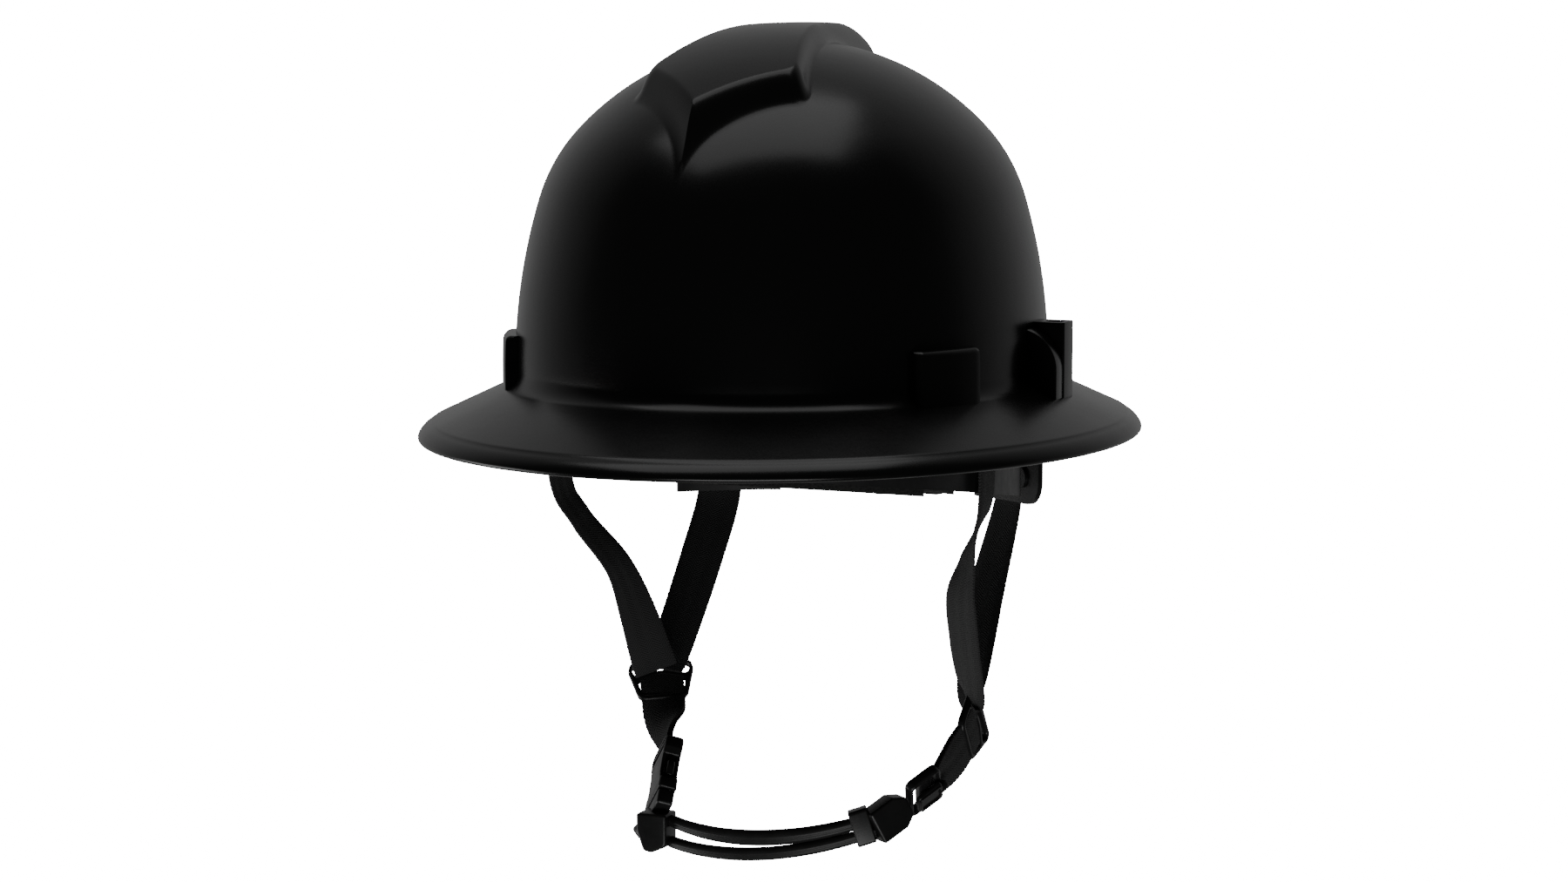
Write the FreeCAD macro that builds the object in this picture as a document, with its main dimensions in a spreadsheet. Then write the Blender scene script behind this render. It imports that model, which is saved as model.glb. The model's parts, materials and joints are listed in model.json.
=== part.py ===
"""Full-brim hard hat with a ratchet headband and a four-point chin strap.

Frame: +Z is up, -Y is the wearer's front, +X is the wearer's left. The origin is the centre of
the head opening on the plane of the brim's lower edge. Millimetres and degrees.
"""
import FreeCAD, Part
import math
import os
import Sketcher
from FreeCAD import Placement, Rotation, Vector

doc = FreeCAD.newDocument("full_brim_hard_hat")
sheet = doc.addObject("Spreadsheet::Sheet", "dims")

DIMENSIONS = {
    # shell section, revolved and then stretched along Y
    "length_ratio": 1.18,
    "crown_top": 161.7,
    "wall": 2.6,
    "arc_top": 110.0,
    "arc_shoulder": 72.3,
    "arc_side": 242.0,
    "turn_top": 47.3,            # slope of the dome where its top arc ends
    "turn_shoulder": 73.55,      # slope of the dome where its shoulder arc ends
    "crown_reach": 106.9,
    "brim_root": 23.4,           # height where the brim's top line meets the wall line
    "brim_drop": 0.4727,         # fall of the brim per millimetre outward
    "brim_wall": 3.3,            # thickness of the brim, measured upright
    "brim_reach": 145.3,
    "root_round": 8.0,
    "lip_at": 139.8,
    "lip_step": 0.5,
    "lip_round": 7.5,
    "lip_side": 1.7,
    "lip_foot": 143.9,
    "lip_inner": 142.0,
    # ridge on the dome
    "ridge_ball": 190.0,         # sphere that its top face lies on
    "ridge_ball_at": 8.0,
    "ridge_top": 168.2,
    "ridge_base": 104.0,
    "ridge_draft": 19.0,
    "ridge_nose": -110.8,        # outline at the base height
    "ridge_head": 48.0,
    "ridge_head_at": -72.0,
    "ridge_waist": 37.2,
    "ridge_waist_at": 16.0,
    "ridge_tail": 24.2,
    "ridge_tail_at": 109.0,
    "ridge_corner": 6.0,
    # key sockets: blisters on the crown, each with a pocket open below
    "key_turn": 28.5,
    "blister_width": 31.0,
    "blister_top": 42.5,
    "blister_proud": 5.2,
    "pocket_width": 25.0,
    "pocket_near": 0.5,
    "pocket_depth": 2.8,
    "pocket_top": 38.0,
    # accessory slots at the sides
    "slot_front": 7.0,
    "slot_width": 12.5,
    "slot_root": 100.0,          # inner end of the block, inside the wall
    "slot_near": 109.4,          # inner side of the pocket
    "slot_reach": 119.0,
    "slot_top": 48.5,
    "slot_foot": 15.0,
    "slot_wall": 2.0,
    "slot_floor": 22.0,
    "gusset_width": 9.0,
    "gusset_round": 33.0,
    "gusset_top": 46.5,
    # suspension keys
    "key_width": 24.0,
    "key_tab": 2.2,
    "key_foot": 12.5,
    "key_bridge": 3.2,
    "key_leg_far": -7.0,
    "key_leg_top": 40.0,
    "key_hanger_drop": 20.0,
    # crown straps: bands of an ellipsoid
    "strap_dome_reach": 100.1,
    "strap_dome_rise": 102.0,
    "strap_dome_base": 25.0,
    "strap_gap": 0.4,
    # webbing
    "web_width": 19.0,
    "web_thick": 1.3,
    # headband
    "band_thick": 1.5,
    "band_height": 30.0,
    "band_middle": -7.0,
    "band_tilt": 8.5,
    "brow_gap": 0.6,
    "brow_thick": 4.5,
    "brow_height": 36.0,
    # nape assembly: rings about one upright axis
    "nape_axis_at": -12.0,
    "nape_middle": -22.0,
    "pad_inner": 111.5,
    "pad_thick": 3.4,
    "pad_height": 30.0,
    "pad_turn": 21.0,            # half angle
    "housing_inner": 115.1,
    "housing_height": 32.0,
    "housing_turn": 16.0,        # half angle
    "channel_inner": 117.2,
    "channel_outer": 119.8,
    "channel_height": 24.4,
    "cover_inner": 120.0,
    "cover_outer": 122.0,
    "rack_inner": 117.5,
    "rack_outer": 119.5,
    "rack_height": 4.6,
    "rack_run": 4.5,             # how far a rack shows beyond the housing, in degrees
    "rack_reach": 8.0,           # how far a rack passes the middle, in degrees
    "arm_height": 15.0,
    "arm_turn": 43.0,
    "plate_inner": 122.2,
    "plate_outer": 124.4,
    "plate_height": 31.0,
    "plate_turn": 45.0,
    "plate_round": 11.0,
    "stud_radius": 3.0,
    "stud_head": 4.8,
    "stud_turn": 38.5,
    "knob_radius": 19.0,
    "knob_depth": 13.0,
    "knob_gap": 0.5,
    "knob_grooves": 18,
    "shaft_radius": 3.0,
    "pinion_radius": 6.0,        # pitch circle
    "pinion_root": 4.4,
    "tooth_width": 1.1,
    "tooth_reach": 2.4,
    "pinion_teeth": 12,
    "fit_gap": 0.05,             # radial clearance of a shaft in its hole
    "screw_shank": 1.2,
    "screw_head": 2.3,
    # chin strap hardware
    "slider_width": 27.0,
    "slider_height": 14.0,
    "slider_depth": 8.0,
    "buckle_width": 25.0,
    "buckle_thick": 8.0,
    "buckle_length": 27.0,
    "buckle_wall": 2.0,
    "buckle_gap": 4.6,           # thickness of the space for the prongs
    "strap_slot": 3.6,
    "plug_base": 7.0,
    "prong_at": 7.2,             # middle of a prong from the buckle's middle
    "prong_from": 13.0,
    "prong_thick": 3.2,
    "prong_width": 2.0,
    "button_from": 12.5,
    "button_length": 7.5,
    "button_slope": 9.0,         # lean of the button's face, which is also the prong's travel
    "rail_radius": 2.5,
}
for row, (word, value) in enumerate(DIMENSIONS.items(), start=1):
    sheet.set(f"A{row}", word)
    sheet.set(f"B{row}", str(value))
    sheet.setAlias(f"B{row}", word)
doc.recompute()

UP = Vector(0, 0, 1)
nodes = []


# ---------------------------------------------------------------- helpers

def cell(word):
    """The number in the sheet's cell of that name."""
    return float(sheet.get(word))


def node(piece, label):
    """Names a finished sub-part and puts it on the list to be written."""
    piece.Label = label
    nodes.append(piece)
    return piece


def turned(angle, axis=UP, about=Vector(0, 0, 0)):
    """A placement that turns about an axis through a point."""
    return Placement(Vector(0, 0, 0), Rotation(axis, angle), about)


def frame_of(origin, along, outward):
    """A placement whose X runs outward, Y sideways and Z along the given direction."""
    along = Vector(along).normalize()
    sideways = along.cross(outward).normalize()
    return Placement(origin, Rotation(sideways.cross(along), sideways, along, "ZYX"))


def primitive(kind, name, sizes, placement=None):
    """A Part primitive whose sizes are expressions on the sheet."""
    piece = doc.addObject(f"Part::{kind}", name)
    for size, expression in sizes.items():
        piece.setExpression(size, expression)
    if placement:
        piece.Placement = placement
    return piece


def box(name, length, width, height, corner, frame=None):
    """A box from its lowest corner, in a frame."""
    place = (frame or Placement()).multiply(Placement(Vector(*corner), Rotation()))
    return primitive("Box", name, {"Length": length, "Width": width, "Height": height}, place)


def rod(name, radius, height, base, along=(0, 0, 1), frame=None):
    """A cylinder from the middle of its base, along a direction, in a frame."""
    place = (frame or Placement()).multiply(Placement(Vector(*base), Rotation(UP, Vector(*along))))
    return primitive("Cylinder", name, {"Radius": radius, "Height": height}, place)


def fuse(name, *pieces):
    joined = doc.addObject("Part::MultiFuse", name)
    joined.Shapes = list(pieces)
    return joined


def common(name, first, second):
    shared = doc.addObject("Part::MultiCommon", name)
    shared.Shapes = [first, second]
    return shared


def cut(name, base, *tools):
    rest = doc.addObject("Part::Cut", name)
    rest.Base = base
    rest.Tool = tools[0] if len(tools) == 1 else fuse(f"{name}_tools", *tools)
    return rest


def mirrored(name, piece):
    """The piece reflected from the +X side to the -X side."""
    twin = doc.addObject("Part::Mirroring", name)
    twin.Source = piece
    twin.Normal = Vector(1, 0, 0)
    return twin


def rounded(name, base, radius, chosen):
    """Fillets every edge that the test picks. The radius is a cell's name."""
    doc.recompute()
    edges = [number for number, edge in enumerate(base.Shape.Edges, start=1) if chosen(edge)]
    fillet = doc.addObject("Part::Fillet", name)
    fillet.Base = base
    fillet.Edges = [(number, cell(radius), cell(radius)) for number in edges]
    return fillet


def plain(name, shape, placement=None):
    """A free-form shape as a document object."""
    piece = doc.addObject("Part::Feature", name)
    piece.Shape = shape
    piece.Placement = placement or Placement()
    return piece


# ---------------------------------------------------------------- sketches

def pin(sketch, geometry, end, across, along):
    """Fixes one end of a sketch line or arc at expressions on the sheet."""
    for kind, axis, text in (("DistanceX", -2, across), ("DistanceY", -1, along)):
        if text == "0":
            sketch.addConstraint(Sketcher.Constraint("PointOnObject", geometry, end, axis))
            continue
        value = float(sketch.evalExpression(text))
        index = sketch.addConstraint(Sketcher.Constraint(kind, -1, 1, geometry, end, value))
        sketch.setExpression(f"Constraints[{index}]", text)


def outline(body, role, name, corners, offset=0.0):
    """A closed sketch. Each corner is (across, along) with expressions, and an optional third
    entry bends the edge that follows: (radius, side), where side is +1 for an edge that bulges
    to its left and -1 for one that bulges to its right."""
    sketch = body.newObject("Sketcher::SketchObject", name)
    plane = next(f for f in body.Origin.OriginFeatures if f.Role == role)
    sketch.AttachmentSupport = [(plane, "")]
    sketch.MapMode = "FlatFace"
    sketch.AttachmentOffset = Placement(Vector(0, 0, offset), Rotation())
    places = [Vector(*(float(sketch.evalExpression(t)) for t in corner[:2]), 0)
              for corner in corners]
    for number, corner in enumerate(corners):
        start = places[number]
        end = places[(number + 1) % len(corners)]
        if len(corner) == 3:
            text, side = corner[2]
            radius = float(sketch.evalExpression(text))
            chord = end - start
            reach = math.sqrt(radius ** 2 - (chord.Length / 2) ** 2)
            left = Vector(-chord.y, chord.x, 0).normalize()
            centre = (start + end) / 2 - left * (side * reach)
            # a sketch's arcs run anticlockwise, and an edge that bulges left runs clockwise
            backward = side > 0
            first, last = (end, start) if backward else (start, end)
            angles = [math.atan2(place.y - centre.y, place.x - centre.x) for place in (first, last)]
            if angles[1] < angles[0]:
                angles[1] += 2 * math.pi
            circle = Part.Circle(centre, UP, radius)
            geometry = sketch.addGeometry(Part.ArcOfCircle(circle, *angles))
            index = sketch.addConstraint(Sketcher.Constraint("Radius", geometry, radius))
            sketch.setExpression(f"Constraints[{index}]", text)
        else:
            geometry = sketch.addGeometry(Part.LineSegment(start, end))
            backward = False
        first, last = (2, 1) if backward else (1, 2)
        pin(sketch, geometry, first, *corner[:2])
        following = corners[(number + 1) % len(corners)]
        pin(sketch, geometry, last, *following[:2])
    doc.recompute()
    return sketch


def new_body(name):
    return doc.addObject("PartDesign::Body", name)


def revolve(body, name, sketch):
    """A full turn of an XZ sketch about the Z axis."""
    turn = body.newObject("PartDesign::Revolution", name)
    turn.Profile = sketch
    turn.ReferenceAxis = (sketch, ["V_Axis"])
    turn.Angle = 360
    return turn


def pad(body, name, sketch, length, **settings):
    extrusion = body.newObject("PartDesign::Pad", name)
    extrusion.Profile = sketch
    extrusion.setExpression("Length", length)
    for setting, value in settings.items():
        setattr(extrusion, setting, value)
    return extrusion


# ---------------------------------------------------------------- shell

def dome_corners(inset):
    """Where the dome's three arcs start and end, from the top down, on a surface that lies
    inset from the outside. Three corners bend, and the last is the foot of the dome."""
    step = "(dims.arc_top - dims.arc_shoulder)"
    second = "(dims.arc_shoulder - dims.arc_side)"
    base = "dims.crown_top - dims.arc_top"
    return [
        ("0", f"dims.crown_top - {inset}", (f"dims.arc_top - {inset}", 1)),
        (f"(dims.arc_top - {inset}) * sin(dims.turn_top)",
         f"{base} + (dims.arc_top - {inset}) * cos(dims.turn_top)",
         (f"dims.arc_shoulder - {inset}", 1)),
        (f"{step} * sin(dims.turn_top) + (dims.arc_shoulder - {inset}) * sin(dims.turn_shoulder)",
         f"{base} + {step} * cos(dims.turn_top)"
         f" + (dims.arc_shoulder - {inset}) * cos(dims.turn_shoulder)",
         (f"dims.arc_side - {inset}", 1)),
        (f"dims.crown_reach - {inset}",
         f"{base} + {step} * cos(dims.turn_top) + {second} * cos(dims.turn_shoulder)"),
    ]


def brim_line(reach, below="0"):
    """Height of the brim's top line at a radius, less a depth."""
    return f"dims.brim_root - dims.brim_drop * ({reach} - dims.crown_reach) - {below}"


def stretched(name, body):
    """The revolved body made longer from front to back."""
    scale = doc.addObject("Part::Scale", name)
    scale.Base = body
    scale.Uniform = False
    scale.XScale = 1.0
    scale.setExpression("YScale", "dims.length_ratio")
    scale.ZScale = 1.0
    return scale


def shell_wall():
    """The moulded wall of the dome and brim."""
    body = new_body("shell_wall")
    slope = math.degrees(math.atan(cell("brim_drop")))
    run = f"dims.root_round * tan({(90 - slope) / 2})"
    outer = dome_corners("0")
    inner = dome_corners("dims.wall")
    brim = [
        ("dims.crown_reach", f"dims.brim_root + {run}", ("dims.root_round", -1)),
        (f"dims.crown_reach + {run} * cos({slope})", f"dims.brim_root - {run} * sin({slope})"),
        ("dims.lip_at", brim_line("dims.lip_at")),
        ("dims.lip_at", brim_line("dims.lip_at", "dims.lip_step"), ("dims.lip_round", 1)),
        ("dims.brim_reach", "dims.lip_side"),
        ("dims.lip_foot", "0"),
        ("dims.lip_inner", "0"),
        ("dims.lip_inner - 1", brim_line("dims.lip_inner - 1", "dims.brim_wall")),
        ("dims.crown_reach - dims.wall",
         brim_line("dims.crown_reach - dims.wall", "dims.brim_wall")),
    ]
    # going back up, each arc belongs to the corner below it
    inside = [
        (*inner[3][:2], (inner[2][2][0], -1)),
        (*inner[2][:2], (inner[1][2][0], -1)),
        (*inner[1][:2], (inner[0][2][0], -1)),
        inner[0][:2],
    ]
    sketch = outline(body, "XZ_Plane", "shell_section", outer + brim + inside)
    revolve(body, "shell_turn", sketch)
    return stretched("shell_stretched", body)


def dome_solid(name, inset, skirt=()):
    """The solid under the dome at an inset, down to the brim's plane, with the skirt's
    corners on its way down."""
    body = new_body(name)
    corners = dome_corners(inset)
    corners += list(skirt) or [(corners[3][0], "0")]
    corners.append(("0", "0"))
    sketch = outline(body, "XZ_Plane", f"{name}_section", corners)
    revolve(body, f"{name}_turn", sketch)
    return stretched(f"{name}_stretched", body)


def ridge(name, inset):
    """The drafted arrow-headed ridge at an inset, under a spherical top."""
    body = new_body(name)
    half = [
        (f"dims.ridge_head - {inset}", "dims.ridge_head_at"),
        (f"dims.ridge_waist - {inset}", "dims.ridge_waist_at"),
        (f"dims.ridge_tail - {inset}", f"dims.ridge_tail_at - {inset}"),
    ]
    other = [(f"-({across})", along) for across, along in reversed(half)]
    nose = [("0", f"dims.ridge_nose + 1.5 * {inset}")]
    sketch = outline(body, "XY_Plane", f"{name}_plan", nose + half + other, cell("ridge_base"))
    block = pad(body, f"{name}_block", sketch, "dims.ridge_top - dims.ridge_base")
    block.TaperAngle = -cell("ridge_draft")
    ball = primitive("Sphere", f"{name}_ball", {"Radius": f"dims.ridge_ball - {inset}"},
                     Placement(Vector(0, cell("ridge_ball_at"), cell("ridge_top") - cell("ridge_ball")),
                               Rotation()))
    solid = common(f"{name}_solid", body, ball)
    return rounded(f"{name}_corners", solid, "ridge_corner",
                   lambda edge: edge.BoundBox.ZLength > 35
                   and abs(edge.CenterOfMass.y - cell("ridge_waist_at")) > 25)


def crown_frame(turn):
    """A frame on the foot of the dome: X points outward, Y along the wall, Z up."""
    reach = cell("crown_reach")
    ratio = cell("length_ratio")
    angle = math.radians(turn)
    foot = Vector(reach * math.cos(angle), ratio * reach * math.sin(angle), 0)
    outward = Vector(math.cos(angle), math.sin(angle) / ratio, 0).normalize()
    return Placement(foot, Rotation(Vector(1, 0, 0), outward))


def key_turns():
    """Name and turn of the four key sockets."""
    turn = cell("key_turn")
    return {"front_left": -turn, "rear_left": turn, "rear_right": 180 - turn,
            "front_right": 180 + turn}


def side_slot():
    """The accessory slot at +X: a pocket open at the top with a rounded gusset before it."""
    block = box("slot_block", "dims.slot_reach - dims.slot_root", "dims.slot_width",
                "dims.slot_top - dims.slot_foot",
                (cell("slot_root"), cell("slot_front"), cell("slot_foot")))
    body = new_body("slot_gusset")
    corners = [
        ("dims.slot_root", "dims.slot_foot"),
        ("dims.slot_reach", "dims.slot_foot"),
        ("dims.slot_reach", "dims.slot_foot + 2", ("dims.gusset_round", -1)),
        ("dims.slot_root + 1", "dims.gusset_top"),
        ("dims.slot_root", "dims.gusset_top"),
    ]
    sketch = outline(body, "XZ_Plane", "gusset_section", corners, -cell("slot_front"))
    pad(body, "gusset_pad", sketch, "dims.gusset_width")
    return fuse("slot_outside", block, body)


def slot_pocket():
    wall = cell("slot_wall")
    return box("slot_pocket", "dims.slot_reach - dims.slot_wall - dims.slot_near",
               "dims.slot_width - 2 * dims.slot_wall", "dims.slot_top",
               (cell("slot_near"), cell("slot_front") + wall, cell("slot_floor")))


def make_shell():
    wall = shell_wall()
    under_brim = [
        ("dims.crown_reach - dims.wall",
         brim_line("dims.crown_reach - dims.wall", "dims.brim_wall")),
        ("dims.lip_inner - 1", brim_line("dims.lip_inner - 1", "dims.brim_wall")),
        ("dims.lip_inner - 1", "0"),
    ]
    bore = dome_solid("shell_bore", "dims.wall", under_brim)
    swell = dome_solid("shell_swell", "(-dims.blister_proud)")
    outside = [cut("ridge_shell", ridge("ridge_outer", "0"), bore)]
    pockets = [ridge("ridge_inner", "dims.wall")]
    blisters = []
    for name, turn in key_turns().items():
        frame = crown_frame(turn)
        blisters.append(box(f"blister_{name}", "20", "dims.blister_width",
                            "dims.blister_top - dims.slot_foot",
                            (-12, -cell("blister_width") / 2, cell("slot_foot")), frame))
        pockets.append(box(f"pocket_{name}", "dims.pocket_depth", "dims.pocket_width",
                           "dims.pocket_top",
                           (cell("pocket_near"), -cell("pocket_width") / 2, 0), frame))
    raised = common("blisters", fuse("blister_blocks", *blisters), swell)
    slots = side_slot()
    outside.append(cut("outside_features",
                       fuse("raised_features", raised, slots, mirrored("slot_mirror", slots)),
                       bore))
    pocket = slot_pocket()
    pockets += [pocket, mirrored("slot_pocket_mirror", pocket)]
    node(cut("shell", fuse("shell_solid", wall, *outside), *pockets), "shell")


# ---------------------------------------------------------------- suspension

def make_keys():
    """Four keys, each a tab in its socket, a bridge under the wall and a leg inside."""
    half = cell("key_width") / 2
    tab_at = cell("pocket_near") + (cell("pocket_depth") - cell("key_tab")) / 2
    far = cell("key_leg_far")
    foot = cell("key_foot")
    for name, turn in key_turns().items():
        frame = crown_frame(turn)
        tab = box(f"key_tab_{name}", "dims.key_tab", "dims.key_width",
                  "dims.pocket_top - 1 - dims.key_foot", (tab_at, -half, foot), frame)
        bridge = box(f"key_bridge_{name}", f"{tab_at} - dims.key_leg_far", "dims.key_width",
                     "dims.key_bridge", (far, -half, foot), frame)
        leg = box(f"key_leg_{name}", "dims.key_tab", "dims.key_width",
                  "dims.key_leg_top - dims.key_foot + dims.key_hanger_drop",
                  (far, -half, foot - cell("key_hanger_drop")), frame)
        node(fuse(f"key_{name}", tab, bridge, leg), f"key_{name}")


def strap_ellipsoid(name, inset):
    """An ellipsoid inset from the outer face of the crown straps."""
    return primitive("Ellipsoid", name, {
        "Radius1": f"dims.strap_dome_rise - {inset}",
        "Radius2": f"dims.strap_dome_reach - {inset}",
        "Radius3": f"dims.strap_dome_reach * dims.length_ratio - {inset}",
    }, Placement(Vector(0, 0, cell("strap_dome_base")), Rotation()))


def make_crown_straps():
    """Two bands that cross at the top, the second just under the first."""
    spacing = cell("web_thick") + cell("strap_gap")
    for name, sign, inset in (("a", -1, 0.0), ("b", 1, spacing)):
        foot = crown_frame(sign * cell("key_turn")).Base
        azimuth = math.degrees(math.atan2(foot.y, foot.x))
        layer = cut(f"crown_layer_{name}", strap_ellipsoid(f"crown_out_{name}", str(inset)),
                    strap_ellipsoid(f"crown_in_{name}", f"({inset} + dims.web_thick)"))
        band = box(f"crown_slab_{name}", "300", "dims.web_width", "dims.strap_dome_rise + 5",
                   (-150, -cell("web_width") / 2, cell("strap_dome_base") - 2), turned(azimuth))
        node(common(f"crown_strap_{name}", layer, band), f"crown_strap_{name}")


def band_shape(points, thick, inset, height, middle):
    """An upright band along a smooth plan curve, inset to the curve's left, tilted down to
    the rear by the headband's own tilt."""
    curve = Part.BSplineCurve()
    curve.interpolate([Vector(*point, 0) for point in points])
    steps = 24
    low = UP * (middle - height / 2)
    faces = []
    for side in (inset, inset + thick):
        ring = []
        for step in range(steps + 1):
            at = curve.FirstParameter + (curve.LastParameter - curve.FirstParameter) * step / steps
            along = curve.tangent(at)[0]
            ring.append(curve.value(at) + Vector(-along.y, along.x, 0) * side + low)
        faces.append(ring)
    sides = []
    for ring in faces:
        edge = Part.BSplineCurve()
        edge.interpolate(ring)
        sides.append(edge.toShape())
    ends = [Part.makeLine(faces[0][n], faces[1][n]) for n in (0, -1)]
    outline_wire = Part.Wire(Part.__sortEdges__([sides[0], ends[1], sides[1], ends[0]]))
    solid = Part.Face(outline_wire).extrude(UP * height)
    shear = FreeCAD.Matrix()
    shear.A32 = -math.tan(math.radians(cell("band_tilt")))
    return solid.transformGeometry(shear)


def headband_plan():
    """Plan points of the headband's outer face, from the wearer's left round the front."""
    left = [(79.3, 72.5), (88.5, 38), (92.5, 0), (84.2, -56.5), (50, -97), (0, -112)]
    return left + [(-across, along) for across, along in reversed(left[:-1])]


def make_headband():
    plan = headband_plan()
    height = cell("band_height")
    middle = cell("band_middle")
    thick = cell("band_thick")
    node(plain("headband", band_shape(plan, thick, -thick, height, middle)), "headband")
    brow = plan[3:-3]
    node(plain("brow_pad", band_shape(brow, cell("brow_thick"),
                                      -thick - cell("brow_gap") - cell("brow_thick"),
                                      cell("brow_height"), middle)), "brow_pad")


# ---------------------------------------------------------------- nape assembly

def nape(place=(0, 0, 0)):
    """The frame of the nape rings, on their upright axis."""
    return Placement(Vector(0, cell("nape_axis_at"), 0) + Vector(*place), Rotation())


def ring_piece(name, inner, outer, height, start, sweep, middle=None):
    """A sector of a ring about the nape axis. Angles are from the rear, towards +X."""
    middle = cell("nape_middle") if middle is None else middle
    place = nape((0, 0, middle)).multiply(turned(90 - start - sweep))
    rings = []
    for part_name, radius in (("out", outer), ("in", inner)):
        ring = primitive("Cylinder", f"{name}_{part_name}",
                         {"Radius": radius, "Height": height}, place)
        ring.setExpression(".Placement.Base.z", f"{middle} - ({height}) / 2")
        rings.append(ring)
    rings[0].Angle = sweep
    return cut(name, *rings)


def nape_pin(name, radius, inner, outer, turn, rise=0.0):
    """A radial pin through the nape rings."""
    frame = nape((0, 0, cell("nape_middle") + rise)).multiply(turned(90 - turn))
    return rod(name, radius, f"({outer}) - ({inner})", (float(sheet.evalExpression(inner)), 0, 0),
               (1, 0, 0), frame)


def make_ratchet():
    turn = cell("housing_turn")
    inner_wall = ring_piece("housing_wall", "dims.housing_inner", "dims.channel_inner",
                            "dims.housing_height", -turn, 2 * turn)
    rails = ring_piece("housing_rails", "dims.channel_inner", "dims.cover_inner - 0.1",
                       "dims.housing_height", -turn, 2 * turn)
    channel = ring_piece("housing_channel", "dims.channel_inner - 1", "dims.channel_outer + 1",
                         "dims.channel_height", -turn - 2, 2 * turn + 4)
    screw_turn = turn - 2.4
    screw_rise = (cell("channel_height") + cell("housing_height")) / 4
    places = [(side * screw_turn, up * screw_rise) for side in (-1, 1) for up in (-1, 1)]
    holes = [nape_pin(f"housing_hole_{n}", "dims.screw_shank + dims.fit_gap",
                      "dims.housing_inner + 1", "dims.cover_outer + 1", *place)
             for n, place in enumerate(places)]
    bearing = nape_pin("housing_bearing", "dims.shaft_radius + dims.fit_gap",
                       "dims.housing_inner - 1", "dims.cover_outer + 1", 0)
    body = fuse("housing_body", inner_wall, cut("housing_sides", rails, channel))
    node(cut("ratchet_housing", body, bearing, *holes), "ratchet_housing")
    back = ring_piece("cover_ring", "dims.cover_inner", "dims.cover_outer",
                      "dims.housing_height", -turn, 2 * turn)
    node(cut("ratchet_cover", back, bearing, *holes), "ratchet_cover")
    screws = []
    for number, place in enumerate(places):
        screws.append(nape_pin(f"screw_shank_{number}", "dims.screw_shank",
                               "dims.housing_inner + 1.2", "dims.cover_outer + 0.5", *place))
        screws.append(nape_pin(f"screw_head_{number}", "dims.screw_head",
                               "dims.cover_outer + 0.1", "dims.cover_outer + 1.3", *place))
    node(fuse("cover_screws", *screws), "cover_screws")
    nape_pad = ring_piece("nape_pad_ring", "dims.pad_inner", "dims.pad_inner + dims.pad_thick",
                          "dims.pad_height", -cell("pad_turn"), 2 * cell("pad_turn"))
    node(nape_pad, "nape_pad")


def make_knob():
    """Grooved knob, with its shaft and pinion as pieces of their own that turn with it."""
    front = cell("nape_axis_at") + cell("cover_outer") + cell("knob_gap") + 1.2
    middle = cell("nape_middle")
    disc = rod("knob_disc", "dims.knob_radius", "dims.knob_depth", (0, front, middle), (0, 1, 0))
    count = int(cell("knob_grooves"))
    grooves = []
    for number in range(count):
        angle = 2 * math.pi * number / count
        reach = cell("knob_radius") + 0.9
        grooves.append(rod(f"knob_groove_{number}", "1.8", "dims.knob_depth + 2",
                           (reach * math.cos(angle), front - 1, middle + reach * math.sin(angle)),
                           (0, 1, 0)))
    socket = rod("knob_socket", "dims.shaft_radius", "dims.knob_depth - 3",
                 (0, front - 0.01, middle), (0, 1, 0))
    hollow = cut("knob_hollow",
                 rod("knob_well", "dims.knob_radius - 3", "dims.knob_depth - 3",
                     (0, front - 0.01, middle), (0, 1, 0)),
                 rod("knob_boss", "dims.shaft_radius + 2.5", "dims.knob_depth",
                     (0, front - 0.02, middle), (0, 1, 0)))
    node(cut("ratchet_knob", disc, socket, hollow, *grooves), "ratchet_knob")
    start = cell("nape_axis_at") + cell("housing_inner") + 0.4
    depth = front - start + cell("knob_depth") - 3.2
    shaft = rod("pinion_shaft", "dims.shaft_radius", str(depth), (0, start, middle), (0, 1, 0))
    gear_at = cell("nape_axis_at") + cell("rack_inner") - 0.1
    parts = [shaft, rod("pinion_core", "dims.pinion_root", "dims.rack_outer - dims.rack_inner",
                        (0, gear_at, middle), (0, 1, 0))]
    teeth = int(cell("pinion_teeth"))
    for number in range(teeth):
        frame = Placement(Vector(0, gear_at, middle),
                          Rotation(Vector(0, 1, 0), 360 * number / teeth))
        parts.append(box(f"pinion_tooth_{number}", "dims.tooth_width",
                         "dims.rack_outer - dims.rack_inner", "dims.tooth_reach",
                         (-cell("tooth_width") / 2, 0, cell("pinion_root") - 0.1), frame))
    node(fuse("pinion", *parts), "pinion")


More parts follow.
